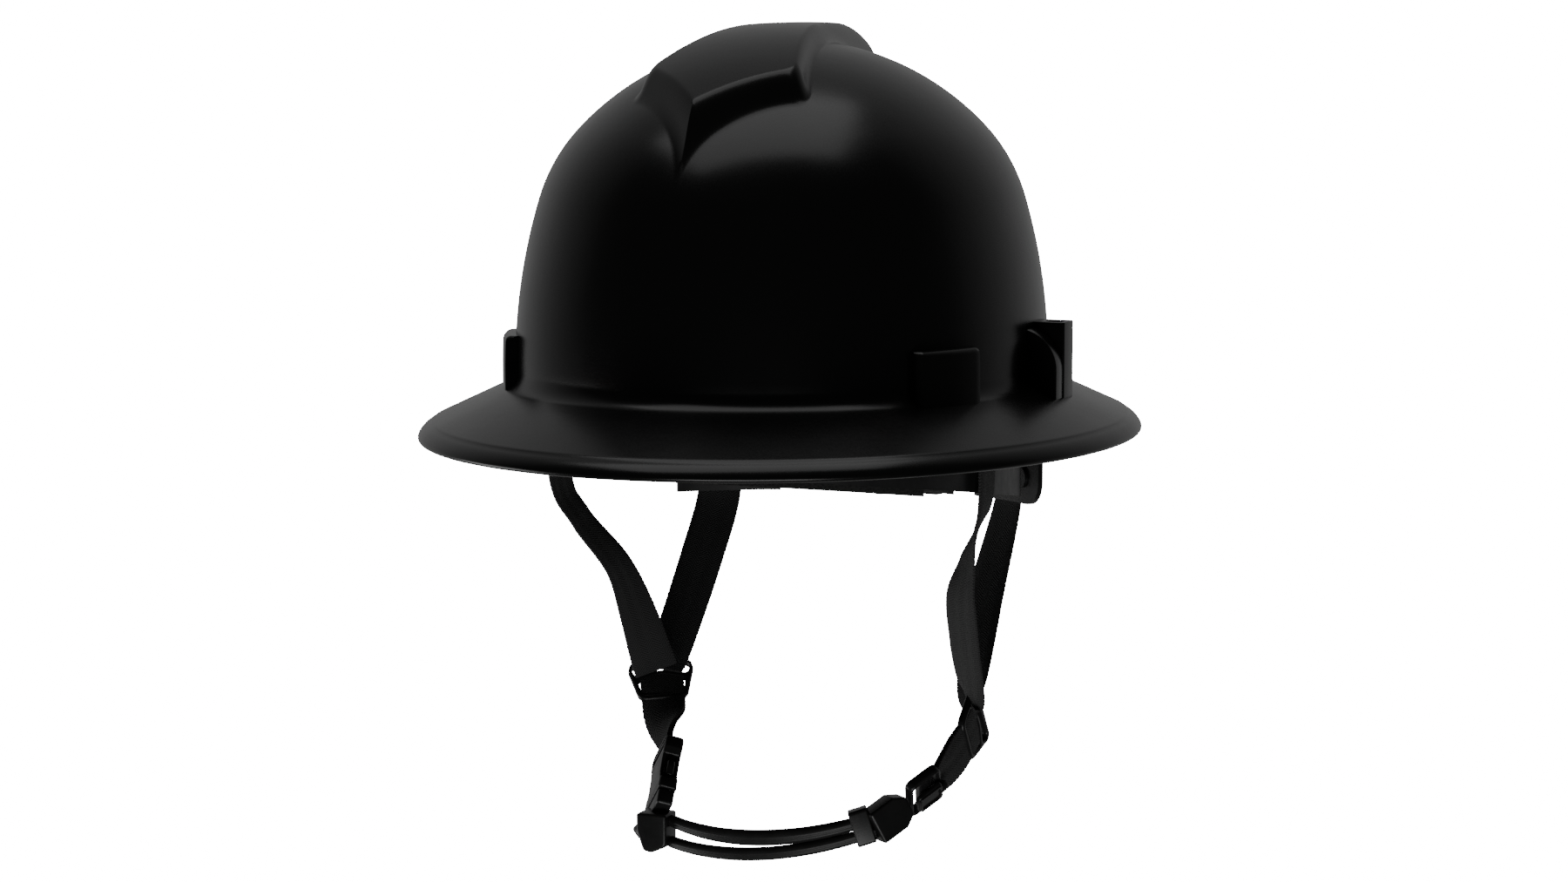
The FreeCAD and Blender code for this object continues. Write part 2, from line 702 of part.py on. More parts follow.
def make_racks():
    """A rack above the pinion from the wearer's left and one below it from the right, each
    with its flexible arm. The teeth are spaced by the pinion's pitch."""
    pitch = 2 * math.pi * cell("pinion_radius") / cell("pinion_teeth")
    step = math.degrees(2 * pitch / (cell("rack_inner") + cell("rack_outer")))
    bar_at = cell("pinion_radius") + 1.5 + cell("rack_height") / 2
    end = cell("housing_turn") + cell("rack_run")
    for name, side, level in (("left", 1, 1), ("right", -1, -1)):
        span = cell("rack_reach") + end
        start = -cell("rack_reach") if side > 0 else -end
        middle = cell("nape_middle") + level * bar_at
        bar = ring_piece(f"rack_bar_{name}", "dims.rack_inner", "dims.rack_outer",
                         "dims.rack_height", start, span, middle)
        parts = [bar]
        for number in range(-1, 6):
            turn = side * (number + 0.5) * step
            frame = nape((0, 0, cell("nape_middle"))).multiply(turned(90 - turn))
            low = cell("pinion_radius") - 1.0
            corner = (cell("rack_inner") + 0.05, -cell("tooth_width") / 2,
                      low if level > 0 else -low - 2.6)
            parts.append(box(f"rack_tooth_{name}_{number}",
                             "dims.rack_outer - dims.rack_inner - 0.1",
                             "dims.tooth_width", "2.6", corner, frame))
        node(fuse(f"rack_{name}", *parts), f"rack_{name}")
        reach = cell("arm_turn") - end
        arm_start = end + 0.02 if side > 0 else -end - 0.02 - reach
        node(ring_piece(f"band_arm_{name}", "dims.rack_inner", "dims.rack_outer",
                        "dims.arm_height", arm_start, reach, middle), f"band_arm_{name}")


def make_plates():
    """Side plates of the nape cradle, with their studs."""
    for name, side in (("left", 1), ("right", -1)):
        inner_turn = cell("housing_turn") - 2
        sweep = cell("plate_turn") - inner_turn
        start = inner_turn if side > 0 else -inner_turn - sweep
        ring = ring_piece(f"plate_ring_{name}", "dims.plate_inner", "dims.plate_outer",
                          "dims.plate_height", start, sweep)
        trim_sweep = 10
        trim_start = inner_turn - 0.5 if side > 0 else -inner_turn + 0.5 - trim_sweep
        trims = [ring_piece(f"plate_trim_{name}_{n}", "dims.plate_inner - 1",
                            "dims.plate_outer + 1", "10", trim_start, trim_sweep,
                            cell("nape_middle") + rise) for n, rise in (("low", -13), ("high", 13))]
        hole = nape_pin(f"plate_hole_{name}", "dims.stud_radius + dims.fit_gap",
                        "dims.plate_inner - 1", "dims.plate_outer + 1", side * cell("stud_turn"), -4)
        trimmed = cut(f"plate_cut_{name}", ring, hole, *trims)
        node(rounded(f"nape_plate_{name}", trimmed, "plate_round",
                     lambda edge: 1.5 < edge.Length < 3
                     and edge.BoundBox.ZLength < 0.1
                     and abs(math.degrees(math.atan2(abs(edge.CenterOfMass.x), edge.CenterOfMass.y
                                                     - cell("nape_axis_at")))
                             - cell("plate_turn")) < 0.5), f"nape_plate_{name}")
        stud = fuse(f"stud_{name}",
                    nape_pin(f"stud_pin_{name}", "dims.stud_radius", "dims.rack_outer + 1.5",
                             "dims.plate_outer + 1.5", side * cell("stud_turn"), -4),
                    nape_pin(f"stud_cap_{name}", "dims.stud_head", "dims.rack_outer + 1",
                             "dims.plate_inner - 0.2", side * cell("stud_turn"), -4),
                    nape_pin(f"stud_rivet_{name}", "dims.stud_head", "dims.plate_outer + 0.2",
                             "dims.plate_outer + 1.8", side * cell("stud_turn"), -4))
        node(stud, f"plate_stud_{name}")


# ---------------------------------------------------------------- chin strap

def ribbon(stations, width, thick):
    """A closed strip through stations, each (centre, direction of its width)."""
    centres = [Vector(place) for place, _ in stations]
    wires = []
    for number, (_, across) in enumerate(stations):
        before = centres[max(number - 1, 0)]
        after = centres[min(number + 1, len(centres) - 1)]
        along = (after - before).normalize()
        across = Vector(*across)
        across = (across - along * across.dot(along)).normalize()
        through = along.cross(across)
        corners = [centres[number] + across * (a * width / 2) + through * (b * thick / 2)
                   for a, b in ((-1, -1), (1, -1), (1, 1), (-1, 1))]
        wires.append(Part.makePolygon([*corners, corners[0]]))
    return Part.makeLoft(wires, True, True)


def strap_routes():
    """Stations of the webbing: from the hat down to the sliders, and from there down."""
    return {
        "strap_front_left": [((95, -18, 20), (0, -1, 0)), ((94.6, -17.5, -21), (0.05, -0.99, 0)),
                             ((90, -15.5, -36), (0.3, -0.95, 0)),
                             ((85.5, -13, -50), (0.6, -0.8, 0)), ((81, -8, -66), (0.8, -0.6, 0)),
                             ((77, 8, -88), (0.78, -0.62, 0)), ((72.5, 29, -110), (0.7, -0.7, 0))],
        "strap_rear_left": [((68, 100, -12), (0.75, -0.66, 0)), ((65, 97, -40), (0.81, -0.59, 0)),
                            ((63, 74, -78), (0.93, -0.36, 0)), ((66.6, 48, -109), (0.8, -0.6, 0))],
        "strap_front_right": [((-95, -18, 20), (0, 1, 0)), ((-94.6, -17, -21), (0.05, 0.99, 0)),
                              ((-89, -9, -40), (0.1, 0.99, 0)), ((-80, 8, -62), (0.3, 0.95, 0)),
                              ((-76, 19, -83), (0.5, 0.86, 0)),
                              ((-73.5, 28.5, -104), (0.62, 0.78, 0))],
        "strap_rear_right": [((-72, 100, -12), (0.8, 0.6, 0)), ((-70, 97, -40), (0.85, 0.5, 0)),
                             ((-70, 76, -68), (0.9, 0.4, 0)), ((-71.5, 46, -104), (0.95, 0.25, 0))],
    }


def slider_places():
    """Centre, direction of the webbing and direction of its width at each slider."""
    return {
        "left": (Vector(70.7, 38, -125.7), Vector(-0.05, -0.85, -0.52), Vector(0.03, 0.52, -0.855)),
        "right": (Vector(-72.7, 38, -116), Vector(0.38, -0.67, -0.64), Vector(0.89, 0.45, 0.065)),
    }


def make_sliders():
    """The loops that gather the front and rear webbing on each side."""
    width = cell("slider_width")
    height = cell("slider_height")
    for name, (centre, along, across) in slider_places().items():
        frame = frame_of(centre, along, across.cross(along))
        outside = box(f"slider_out_{name}", "dims.slider_depth", "dims.slider_width",
                      "dims.slider_height",
                      (-cell("slider_depth") / 2, -width / 2, -height / 2), frame)
        window = box(f"slider_window_{name}", "dims.web_thick * 2 + 1.6", "dims.web_width + 1.6",
                     "dims.slider_height + 2",
                     (-cell("web_thick") - 0.8, -cell("web_width") / 2 - 0.8, -height / 2 - 1), frame)
        node(cut(f"y_slider_{name}", outside, window), f"y_slider_{name}")


def lower_routes():
    """Stations of the webbing below the sliders, which is doubled there."""
    left, right = (slider_places()[name] for name in ("left", "right"))
    return {
        "strap_lower_left": [(left[0] - left[1].normalize() * 6, left[2]),
                             (left[0] + left[1] * 8, left[2]),
                             ((68.5, 23.5, -135.5), (0.1, 0.6, -0.8)),
                             ((66.5, 15.5, -140.5), (0.0, 0.65, -0.76))],
        "strap_lower_right": [(right[0] - right[1].normalize() * 6, right[2]),
                              (right[0] + right[1] * 8, right[2]),
                              ((-66, 26, -128.5), (0.9, 0.2, 0.3)),
                              ((-59.5, 14.8, -138.4), (0.4, -0.5, 0.75))],
    }


def buckle_frame():
    """X outward from the cheek, Y across the buckle, Z from the webbing to the plug."""
    return frame_of(Vector(-58, 12, -141), Vector(5, -22, -22.3), Vector(-0.81, -0.54, 0.2))


def make_buckle():
    """Socket with its webbing slot and side windows, plug with its tongue and rail block, and
    the two prongs whose buttons stand in the windows."""
    frame = buckle_frame()
    half = cell("buckle_width") / 2
    thick = cell("buckle_thick")
    length = cell("buckle_length")
    gap = cell("buckle_gap") / 2
    inner = half - cell("buckle_wall")
    slot_half = (cell("web_width") + 1) / 2
    outside = box("socket_out", "dims.buckle_thick", "dims.buckle_width", "dims.buckle_length",
                  (-thick / 2, -half, 0), frame)
    slot = box("socket_slot", "dims.buckle_thick + 2", "dims.web_width + 1", "dims.strap_slot",
               (-thick / 2 - 1, -slot_half, 1.8), frame)
    cavity = box("socket_cavity", "dims.buckle_gap", "dims.buckle_width - 2 * dims.buckle_wall",
                 "dims.buckle_length", (-gap, -inner, 7.4), frame)
    windows = box("socket_windows", "dims.buckle_gap", "dims.buckle_width + 2",
                  "dims.button_length + 3.5", (-gap, -half - 1, cell("button_from") - 1.5), frame)
    node(cut("buckle_socket", outside, slot, cavity, windows), "buckle_socket")
    base = box("plug_base", "dims.buckle_thick - 1", "dims.buckle_width - 2", "dims.plug_base",
               (-thick / 2 + 0.5, -half + 1, length + 0.4), frame)
    tongue = box("plug_tongue", "3.6", "4", "dims.buckle_length - 12",
                 (-1.8, -2, cell("prong_from")), frame)
    block = box("rail_block", "14", "12", "17", (-59.5, -20, -179.5))
    node(fuse("buckle_plug", base, tongue, block), "buckle_plug")
    at = cell("prong_at")
    face = -cell("prong_thick") / 2
    for name, side in (("front", 1), ("rear", -1)):
        arm = box(f"prong_arm_{name}", "dims.prong_thick", "dims.prong_width",
                  "dims.buckle_length - dims.prong_from",
                  (face, at * side - cell("prong_width") / 2, cell("prong_from")), frame)
        low = at if side > 0 else -half - 0.4
        button = box(f"prong_button_{name}", "dims.prong_thick",
                     "dims.buckle_width / 2 + 0.4 - dims.prong_at", "dims.button_length",
                     (face, low, cell("button_from")), frame)
        slope = frame.multiply(Placement(Vector(0, side * (half + 0.1), cell("button_from")),
                                         Rotation(Vector(side, 0, 0), cell("button_slope"))))
        shaved = box(f"prong_slope_{name}", "6", "4", "14", (-3, 0 if side > 0 else -4, -4), slope)
        whole = fuse(f"prong_whole_{name}", arm, button)
        node(cut(f"prong_{name}", whole, shaved), f"prong_{name}")


def rail_arc(start, middle, end):
    """A round rail along one arc."""
    path = Part.Wire([Part.Arc(Vector(*start), Vector(*middle), Vector(*end)).toShape()])
    along = path.Edges[0].tangentAt(path.Edges[0].FirstParameter)
    circle = Part.Wire([Part.makeCircle(cell("rail_radius"), Vector(*start), along)])
    return path.makePipeShell([circle], True, False)


def make_chin_guard():
    """Two rubber rails between the plug's block and the bracket on the other side."""
    rails = {
        "chin_rail_upper": ((-44.4, -14, -166), (-2, -24.5, -167.4), (46, -14, -156.9)),
        "chin_rail_lower": ((-44.4, -14, -175), (-2, -24.5, -174.6), (46, -14, -162.6)),
    }
    for name, places in rails.items():
        node(plain(name, rail_arc(*places)), name)
    along = Vector(13, 5.5, 4.5)
    outward = Vector(0.3, -0.95, 0)
    keeper = frame_of(Vector(41.2, -16.2, -160.6), along, outward)
    sleeve = box("sleeve_out", "9", "15.2", "8", (-4.5, -7.6, -4), keeper)
    window = box("sleeve_window", "6.4", "12.8", "10", (-3.2, -6.4, -5), keeper)
    node(cut("rail_keeper", sleeve, window), "rail_keeper")
    chain = Vector(0.569, 0.659, 0.494)
    bracket = frame_of(Vector(47.4, -13.5, -159.7), chain, Vector(0.75, -0.65, 0))
    node(box("rail_bracket", "9", "15", "13", (-4.5, -7.5, 1.8), bracket), "rail_bracket")
    lock = frame_of(Vector(56.2, -3.2, -151.9), chain, Vector(0.785, -0.264, -0.556))
    frame_block = box("lock_out", "5", "24", "17", (-2.5, -12, 0), lock)
    slots = [box(f"lock_slot_{n}", "7", "19.8", "3.4", (-3.5, -9.9, at), lock)
             for n, at in enumerate((2.2, 11))]
    node(cut("strap_lock", frame_block, *slots), "strap_lock")
    node(box("lock_lever", "2.6", "11", "13", (2.8, -5.5, 2), lock), "lock_lever")


def make_anchors():
    """Clips inside the shell that hold the front webbing."""
    for name, side in (("left", 1), ("right", -1)):
        low = 96.1 if side > 0 else -100.1
        clip = box(f"anchor_block_{name}", "4", "25", "14", (low, -30.5, 8), None)
        slot = box(f"anchor_slot_{name}", "6", "20", "3.6", (low - 1, -28, 10.5), None)
        node(cut(f"front_anchor_{name}", clip, slot), f"front_anchor_{name}")


make_shell()
make_keys()
make_crown_straps()
make_headband()
make_ratchet()
make_knob()
make_racks()
make_plates()
make_anchors()
make_sliders()
make_buckle()
make_chin_guard()
for strap, stations in (strap_routes() | lower_routes()).items():
    thick = cell("web_thick") * (2 if "lower" in strap else 1)
    node(plain(strap, ribbon(stations, cell("web_width"), thick)), strap)

doc.recompute()
for piece in doc.Objects:
    if "Invalid" in piece.State or "Error" in piece.State:
        raise RuntimeError(f"{piece.Name} failed: {piece.State}")
os.makedirs("parts", exist_ok=True)
for piece in nodes:
    if piece.Shape.isNull() or not piece.Shape.isValid():
        raise RuntimeError(f"{piece.Label} has no valid shape")
    piece.Shape.exportStep(f"parts/{piece.Label}.step")
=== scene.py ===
"""Looks of the full-brim hard hat: gloss shell, webbing, pads, moulded hardware and studio.

Metres, in the frame of the CAD model: +Z up, -Y the wearer's front, +X the wearer's left.
"""
import json
import math
import bmesh
import bpy
from mathutils import Matrix, Vector


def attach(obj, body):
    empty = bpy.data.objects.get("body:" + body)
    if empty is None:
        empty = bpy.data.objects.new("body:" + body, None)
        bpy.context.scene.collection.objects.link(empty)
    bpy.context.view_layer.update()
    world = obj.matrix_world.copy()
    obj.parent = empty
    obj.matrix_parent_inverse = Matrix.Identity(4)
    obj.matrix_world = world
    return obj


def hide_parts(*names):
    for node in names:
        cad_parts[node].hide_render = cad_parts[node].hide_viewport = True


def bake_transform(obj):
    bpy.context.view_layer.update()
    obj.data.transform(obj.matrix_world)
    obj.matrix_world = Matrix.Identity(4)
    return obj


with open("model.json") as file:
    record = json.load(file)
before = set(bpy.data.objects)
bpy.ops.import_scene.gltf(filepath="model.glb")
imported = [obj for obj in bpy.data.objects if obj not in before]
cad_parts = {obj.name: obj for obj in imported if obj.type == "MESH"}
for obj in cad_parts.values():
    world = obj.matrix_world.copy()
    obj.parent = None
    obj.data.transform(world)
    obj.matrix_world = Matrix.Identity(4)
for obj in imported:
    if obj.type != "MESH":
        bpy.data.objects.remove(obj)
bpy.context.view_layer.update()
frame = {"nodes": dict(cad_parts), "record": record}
MM = 0.001
UP = Vector((0, 0, 1))


# ---------------------------------------------------------------- materials

class Look:
    """A material on one Principled shader, with short calls for its node chains."""

    def __init__(self, name, colour, roughness, **sockets):
        self.material = bpy.data.materials.new(name)
        self.material.use_nodes = True
        self.tree = self.material.node_tree
        self.shader = self.tree.nodes["Principled BSDF"]
        self.shader.inputs["Base Color"].default_value = (*colour, 1)
        self.shader.inputs["Roughness"].default_value = roughness
        for socket, value in sockets.items():
            self.shader.inputs[socket.replace("_", " ")].default_value = value
        self.height = None

    def node(self, kind, **settings):
        made = self.tree.nodes.new(kind)
        for key, value in settings.items():
            setattr(made, key, value)
        return made

    def link(self, source, target):
        self.tree.links.new(source, target)

    def place(self):
        return self.node("ShaderNodeTexCoord").outputs["Object"]

    def noise(self, scale, detail=3.0, stretch=None):
        texture = self.node("ShaderNodeTexNoise")
        texture.inputs["Scale"].default_value = scale
        texture.inputs["Detail"].default_value = detail
        source = self.place()
        if stretch:
            mapping = self.node("ShaderNodeMapping")
            mapping.inputs["Scale"].default_value = stretch
            self.link(source, mapping.inputs["Vector"])
            source = mapping.outputs["Vector"]
        self.link(source, texture.inputs["Vector"])
        return texture.outputs["Fac"]

    def math(self, operation, *values):
        made = self.node("ShaderNodeMath", operation=operation)
        for socket, value in zip(made.inputs, values):
            if isinstance(value, (int, float)):
                socket.default_value = value
            else:
                self.link(value, socket)
        return made.outputs[0]

    def ranged(self, value, low, high):
        """A value from 0..1 carried to low..high."""
        made = self.node("ShaderNodeMapRange")
        made.inputs["To Min"].default_value = low
        made.inputs["To Max"].default_value = high
        self.link(value, made.inputs["Value"])
        return made.outputs["Result"]

    def roughness(self, value, low, high):
        self.link(self.ranged(value, low, high), self.shader.inputs["Roughness"])

    def colours(self, value, dark, light):
        ramp = self.node("ShaderNodeValToRGB")
        ramp.color_ramp.elements[0].color = (*dark, 1)
        ramp.color_ramp.elements[1].color = (*light, 1)
        ramp.color_ramp.elements[0].position = 0.25
        ramp.color_ramp.elements[1].position = 0.75
        self.link(value, ramp.inputs["Fac"])
        self.link(ramp.outputs["Color"], self.shader.inputs["Base Color"])

    def bump(self, value, distance, strength=1.0):
        """Adds a bump of that depth in metres on top of those before it."""
        made = self.node("ShaderNodeBump")
        made.inputs["Distance"].default_value = distance
        made.inputs["Strength"].default_value = strength
        self.link(value, made.inputs["Height"])
        if self.height:
            self.link(self.height, made.inputs["Normal"])
        self.height = made.outputs["Normal"]
        self.link(self.height, self.shader.inputs["Normal"])


def grey(level):
    return (level, level, level)


def shell_look():
    look = Look("shell_gloss", grey(0.006), 0.24, IOR=1.5)
    look.roughness(look.noise(35, 4), 0.21, 0.28)
    look.bump(look.noise(90, 2), 0.00004)
    look.bump(look.noise(1400, 2), 0.000004)
    return look.material


def moulded_look(name, level, low, high, grain=2600):
    """Moulded plastic with a fine spark-eroded grain."""
    look = Look(name, grey(level), low, IOR=1.5)
    patches = look.noise(260, 4)
    look.roughness(patches, low, high)
    look.colours(look.noise(120, 5), grey(level * 0.75), grey(level * 1.3))
    look.bump(look.noise(grain, 2), 0.00003, 0.6)
    return look.material


def webbing_look():
    """Herringbone twill: u runs across the strap and v along it, both in metres."""
    look = Look("webbing_twill", grey(0.03), 0.78, IOR=1.45, Sheen_Weight=0.15,
                Sheen_Roughness=0.45)
    look.shader.inputs["Sheen Tint"].default_value = (*grey(0.45), 1)
    uv = look.node("ShaderNodeUVMap", uv_map="weave").outputs["UV"]
    parts = look.node("ShaderNodeSeparateXYZ")
    look.link(uv, parts.inputs["Vector"])
    across, along = parts.outputs["X"], parts.outputs["Y"]
    column = look.math("PINGPONG", across, 0.0032)
    slant = look.math("ADD", column, along)
    twill = look.math("SINE", look.math("MULTIPLY", slant, 2 * math.pi / 0.0013))
    warp = look.math("SINE", look.math("MULTIPLY", across, 2 * math.pi / 0.00062))
    weft = look.math("SINE", look.math("MULTIPLY", along, 2 * math.pi / 0.00075))
    weave = look.math("ADD", look.math("MULTIPLY", twill, 0.35),
                      look.math("MULTIPLY", look.math("ADD", warp, weft), 0.12))
    weave = look.math("ADD", weave, 0.5)
    fuzz = look.noise(2200, 4)
    worn = look.math("ADD", look.math("MULTIPLY", weave, 0.7), look.math("MULTIPLY", fuzz, 0.35))
    look.colours(worn, grey(0.016), grey(0.055))
    look.roughness(fuzz, 0.68, 0.9)
    look.bump(weave, 0.00022)
    look.bump(fuzz, 0.00008, 0.7)
    return look.material


def pad_look():
    """Brushed loop cloth."""
    look = Look("pad_cloth", grey(0.016), 0.9, IOR=1.45, Sheen_Weight=0.5, Sheen_Roughness=0.4)
    look.shader.inputs["Sheen Tint"].default_value = (*grey(0.5), 1)
    loops = look.node("ShaderNodeTexVoronoi")
    loops.inputs["Scale"].default_value = 900
    look.link(look.place(), loops.inputs["Vector"])
    fuzz = look.noise(1500, 5)
    look.colours(look.math("MULTIPLY", look.math("ADD", loops.outputs["Distance"], fuzz), 0.6),
                 grey(0.008), grey(0.03))
    look.roughness(fuzz, 0.8, 0.98)
    look.bump(loops.outputs["Distance"], 0.0004, 0.8)
    look.bump(look.noise(160, 3), 0.0006, 0.5)
    return look.material


def steel_look():
    look = Look("zinc_plate", grey(0.4), 0.3, Metallic=1.0)
    look.roughness(look.noise(900, 4), 0.24, 0.42)
    look.bump(look.noise(1200, 3), 0.00002)
    return look.material


LOOKS = {
    "shell": shell_look(),
    "hardware": moulded_look("acetal_black", 0.016, 0.26, 0.4),
    "band": moulded_look("nylon_black", 0.024, 0.36, 0.52, 1900),
    "rail": moulded_look("rail_rubber", 0.02, 0.34, 0.5, 1500),
    "webbing": webbing_look(),
    "pad": pad_look(),
    "screw": steel_look(),
}


# ---------------------------------------------------------------- mesh helpers

def finish_mesh(mesh, sharp_angle=35):
    """Outward faces, smooth shading and sharp edges above an angle."""
    shape = bmesh.new()
    shape.from_mesh(mesh)
    bmesh.ops.remove_doubles(shape, verts=shape.verts, dist=1e-7)
    bmesh.ops.recalc_face_normals(shape, faces=shape.faces)
    shape.to_mesh(mesh)
    shape.free()
    mesh.polygons.foreach_set("use_smooth", [True] * len(mesh.polygons))
    mesh.set_sharp_from_angle(angle=math.radians(sharp_angle))


def add_piece(name, mesh, body, slot, replaces=(), sharp_angle=35):
    """Puts a mesh in the scene as a piece that rides on a body."""
    finish_mesh(mesh, sharp_angle)
    piece = bpy.data.objects.new(name, mesh)
    bpy.context.scene.collection.objects.link(piece)
    mesh.materials.append(LOOKS[slot])
    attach(piece, body)
    if replaces:
        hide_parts(*replaces)
    return piece


def mesh_from(name, vertices, faces):
    mesh = bpy.data.meshes.new(name)
    mesh.from_pydata(vertices, [], faces)
    return mesh


def joined(name, meshes):
    """One mesh from several."""
    whole = bmesh.new()
    for mesh in meshes:
        whole.from_mesh(mesh)
    result = bpy.data.meshes.new(name)
    whole.to_mesh(result)
    whole.free()
    return result


def skin(rings):
    """Vertices and faces of a capped tube through rings of equal counts."""
    count = len(rings[0])
    vertices = [point for ring in rings for point in ring]
    faces = []
    for row in range(len(rings) - 1):
        for column in range(count):
            following = (column + 1) % count
            faces.append((row * count + column, row * count + following,
                          (row + 1) * count + following, (row + 1) * count + column))
    faces.append(tuple(range(count)))
    faces.append(tuple((len(rings) - 1) * count + c for c in range(count)))
    return vertices, faces


def rounded_loop(corners, steps=5):
    """Points of a closed outline whose corners (x, y, radius) are rounded."""
    points = []
    for number, (x, y, radius) in enumerate(corners):
        here = Vector((x, y))
        before = (Vector(corners[number - 1][:2]) - here).normalized()
        after = (Vector(corners[(number + 1) % len(corners)][:2]) - here).normalized()
        if radius <= 0:
            points.append(here)
            continue
        half = before.angle(after) / 2
        reach = radius / math.tan(half)
        centre = here + (before + after).normalized() * (radius / math.sin(half))
        first = here + before * reach - centre
        last = here + after * reach - centre
        turn = first.angle_signed(last)
        for step in range(steps + 1):
            angle = -turn * step / steps
            points.append(centre + Matrix.Rotation(angle, 2) @ first)
    return points


def plate(name, loops, thick, edge, place=None):
    """A flat plate from an outline and its holes, with rounded edges, in millimetres: the
    outline lies in X and Y and the thickness is centred on Z. place takes it to the frame."""
    curve = bpy.data.curves.new(name, "CURVE")
    curve.dimensions = "2D"
    curve.fill_mode = "BOTH"
    curve.extrude = (thick / 2 - edge) * MM
    curve.bevel_depth = edge * MM
    curve.bevel_resolution = 3
    curve.offset = -edge * MM
    for loop in loops:
        spline = curve.splines.new("POLY")
        spline.points.add(len(loop) - 1)
        for point, spot in zip(spline.points, loop):
            point.co = (spot.x * MM, spot.y * MM, 0, 1)
        spline.use_cyclic_u = True
    holder = bpy.data.objects.new(name, curve)
    bpy.context.scene.collection.objects.link(holder)
    bpy.context.view_layer.update()
    solved = holder.evaluated_get(bpy.context.evaluated_depsgraph_get())
    mesh = bpy.data.meshes.new_from_object(solved)
    bpy.data.objects.remove(holder)
    bpy.data.curves.remove(curve)
    if place:
        mesh.transform(place)
    return mesh


def frame_of(origin, along, outward):
    """The CAD's local frames: X outward, Y sideways, Z along, with the origin in millimetres."""
    along = Vector(along).normalized()
    sideways = along.cross(Vector(outward)).normalized()
    outward = sideways.cross(along)
    matrix = Matrix((outward, sideways, along)).transposed().to_4x4()
    matrix.translation = Vector(origin) * MM
    return matrix


def facing(matrix, depth=0.0):
    """A plate's own frame inside a local frame: its X runs sideways, its Y along and its
    thickness outward, at a depth in millimetres."""
    turn = Matrix(((0, 0, 1, depth * MM), (1, 0, 0, 0), (0, 1, 0, 0), (0, 0, 0, 1)))
    return matrix @ turn


def curve_points(controls, steps):
    """Points of a smooth curve through the controls, which may be vectors of any length."""
    points = []
    for number in range(len(controls) - 1):
        before = controls[max(number - 1, 0)]
        start, end = controls[number], controls[number + 1]
        after = controls[min(number + 2, len(controls) - 1)]
        for step in range(steps):
            t = step / steps
            points.append(0.5 * ((2 * start) + (end - before) * t
                                 + (2 * before - 5 * start + 4 * end - after) * t * t
                                 + (3 * start - before - 3 * end + after) * t ** 3))
    points.append(controls[-1])
    return points


# ---------------------------------------------------------------- shell

RATIO = 1.18                     # front-to-back size over width
CROWN_TOP = 161.7
CROWN_REACH = 106.9
WALL = 2.6
ARCS = ((110.0, 47.3), (72.3, 73.55), (242.0, 90.0))   # radius, slope where the arc ends
BRIM_ROOT = 23.4
BRIM_DROP = 0.4727
RIDGE_BASE = 104.0
RIDGE_TOP = 168.2
RIDGE_DRAFT = math.tan(math.radians(19))
RIDGE_UNDERCUT = 0.05            # walls below the base plane drop away inside the dome
RIDGE_FOOT = 60                  # the ridge is nowhere lower
SHELL_TURNS = 480


def arc_run(centre, radius, start, end, steps):
    """Points of an arc in the section plane. Angles are slopes, in degrees from level."""
    return [(centre[0] + radius * math.sin(math.radians(start + (end - start) * n / steps)),
             centre[1] + radius * math.cos(math.radians(start + (end - start) * n / steps)))
            for n in range(steps + 1)]


def dome_section(inset, counts):
    """The dome from apex to foot, at an inset from the outside."""
    centre = (0.0, CROWN_TOP - ARCS[0][0])
    slope = 0.0
    points = []
    for (radius, end), steps, following in zip(ARCS, counts, (ARCS[1][0], ARCS[2][0], None)):
        points += arc_run(centre, radius - inset, slope, end, steps)[(1 if points else 0):]
        if following:
            shift = radius - following
            angle = math.radians(end)
            centre = (centre[0] + shift * math.sin(angle), centre[1] + shift * math.cos(angle))
        slope = end
    return points


def brim_height(reach):
    return BRIM_ROOT - BRIM_DROP * (reach - CROWN_REACH)


def smooth_least(first, second, blend):
    """The smaller of two, rounded where they are within blend of each other."""
    share = max(blend - abs(first - second), 0.0) / blend
    return min(first, second) - share * share * blend / 4


def smooth_most(first, second, blend):
    return -smooth_least(-first, -second, blend)


def side_of(x, y, start, end):
    """How far a point lies to the right of the line from start to end."""
    along = Vector(end) - Vector(start)
    return ((x - start[0]) * along.y - (y - start[1]) * along.x) / -along.length


RIDGE_PLAN = {"nose": (0, -110.6), "head": (51, -71.5), "neck": (38.9, -3.5),
              "waist": (31.3, 60), "tail": (21.9, 113)}


def ridge_height(x, y, inset=0.0):
    """Height of the arrow-headed ridge above a point of the plan: drafted walls under a
    crowned top, with their edge rounded."""
    x = abs(x)
    plan = RIDGE_PLAN
    nose = side_of(x, y, plan["nose"], plan["head"])
    head = side_of(x, y, plan["head"], plan["neck"])
    waist = side_of(x, y, plan["neck"], plan["waist"])
    tail = side_of(x, y, plan["waist"], plan["tail"])
    rear = plan["tail"][1] + 2 - y
    inside = smooth_most(head, waist, 8)
    inside = smooth_least(inside, tail, 12)
    inside = smooth_least(inside, rear, 14)
    inside = smooth_least(inside, nose, 5) - inset
    wall = RIDGE_BASE + inside / (RIDGE_DRAFT if inside > 0 else RIDGE_UNDERCUT)
    fall = 0.0033 * y * y if y < 0 else 15 * (y / 96) ** 4
    top = RIDGE_TOP - inset - fall - 0.0033 * x * x
    return smooth_least(wall, top, 6)


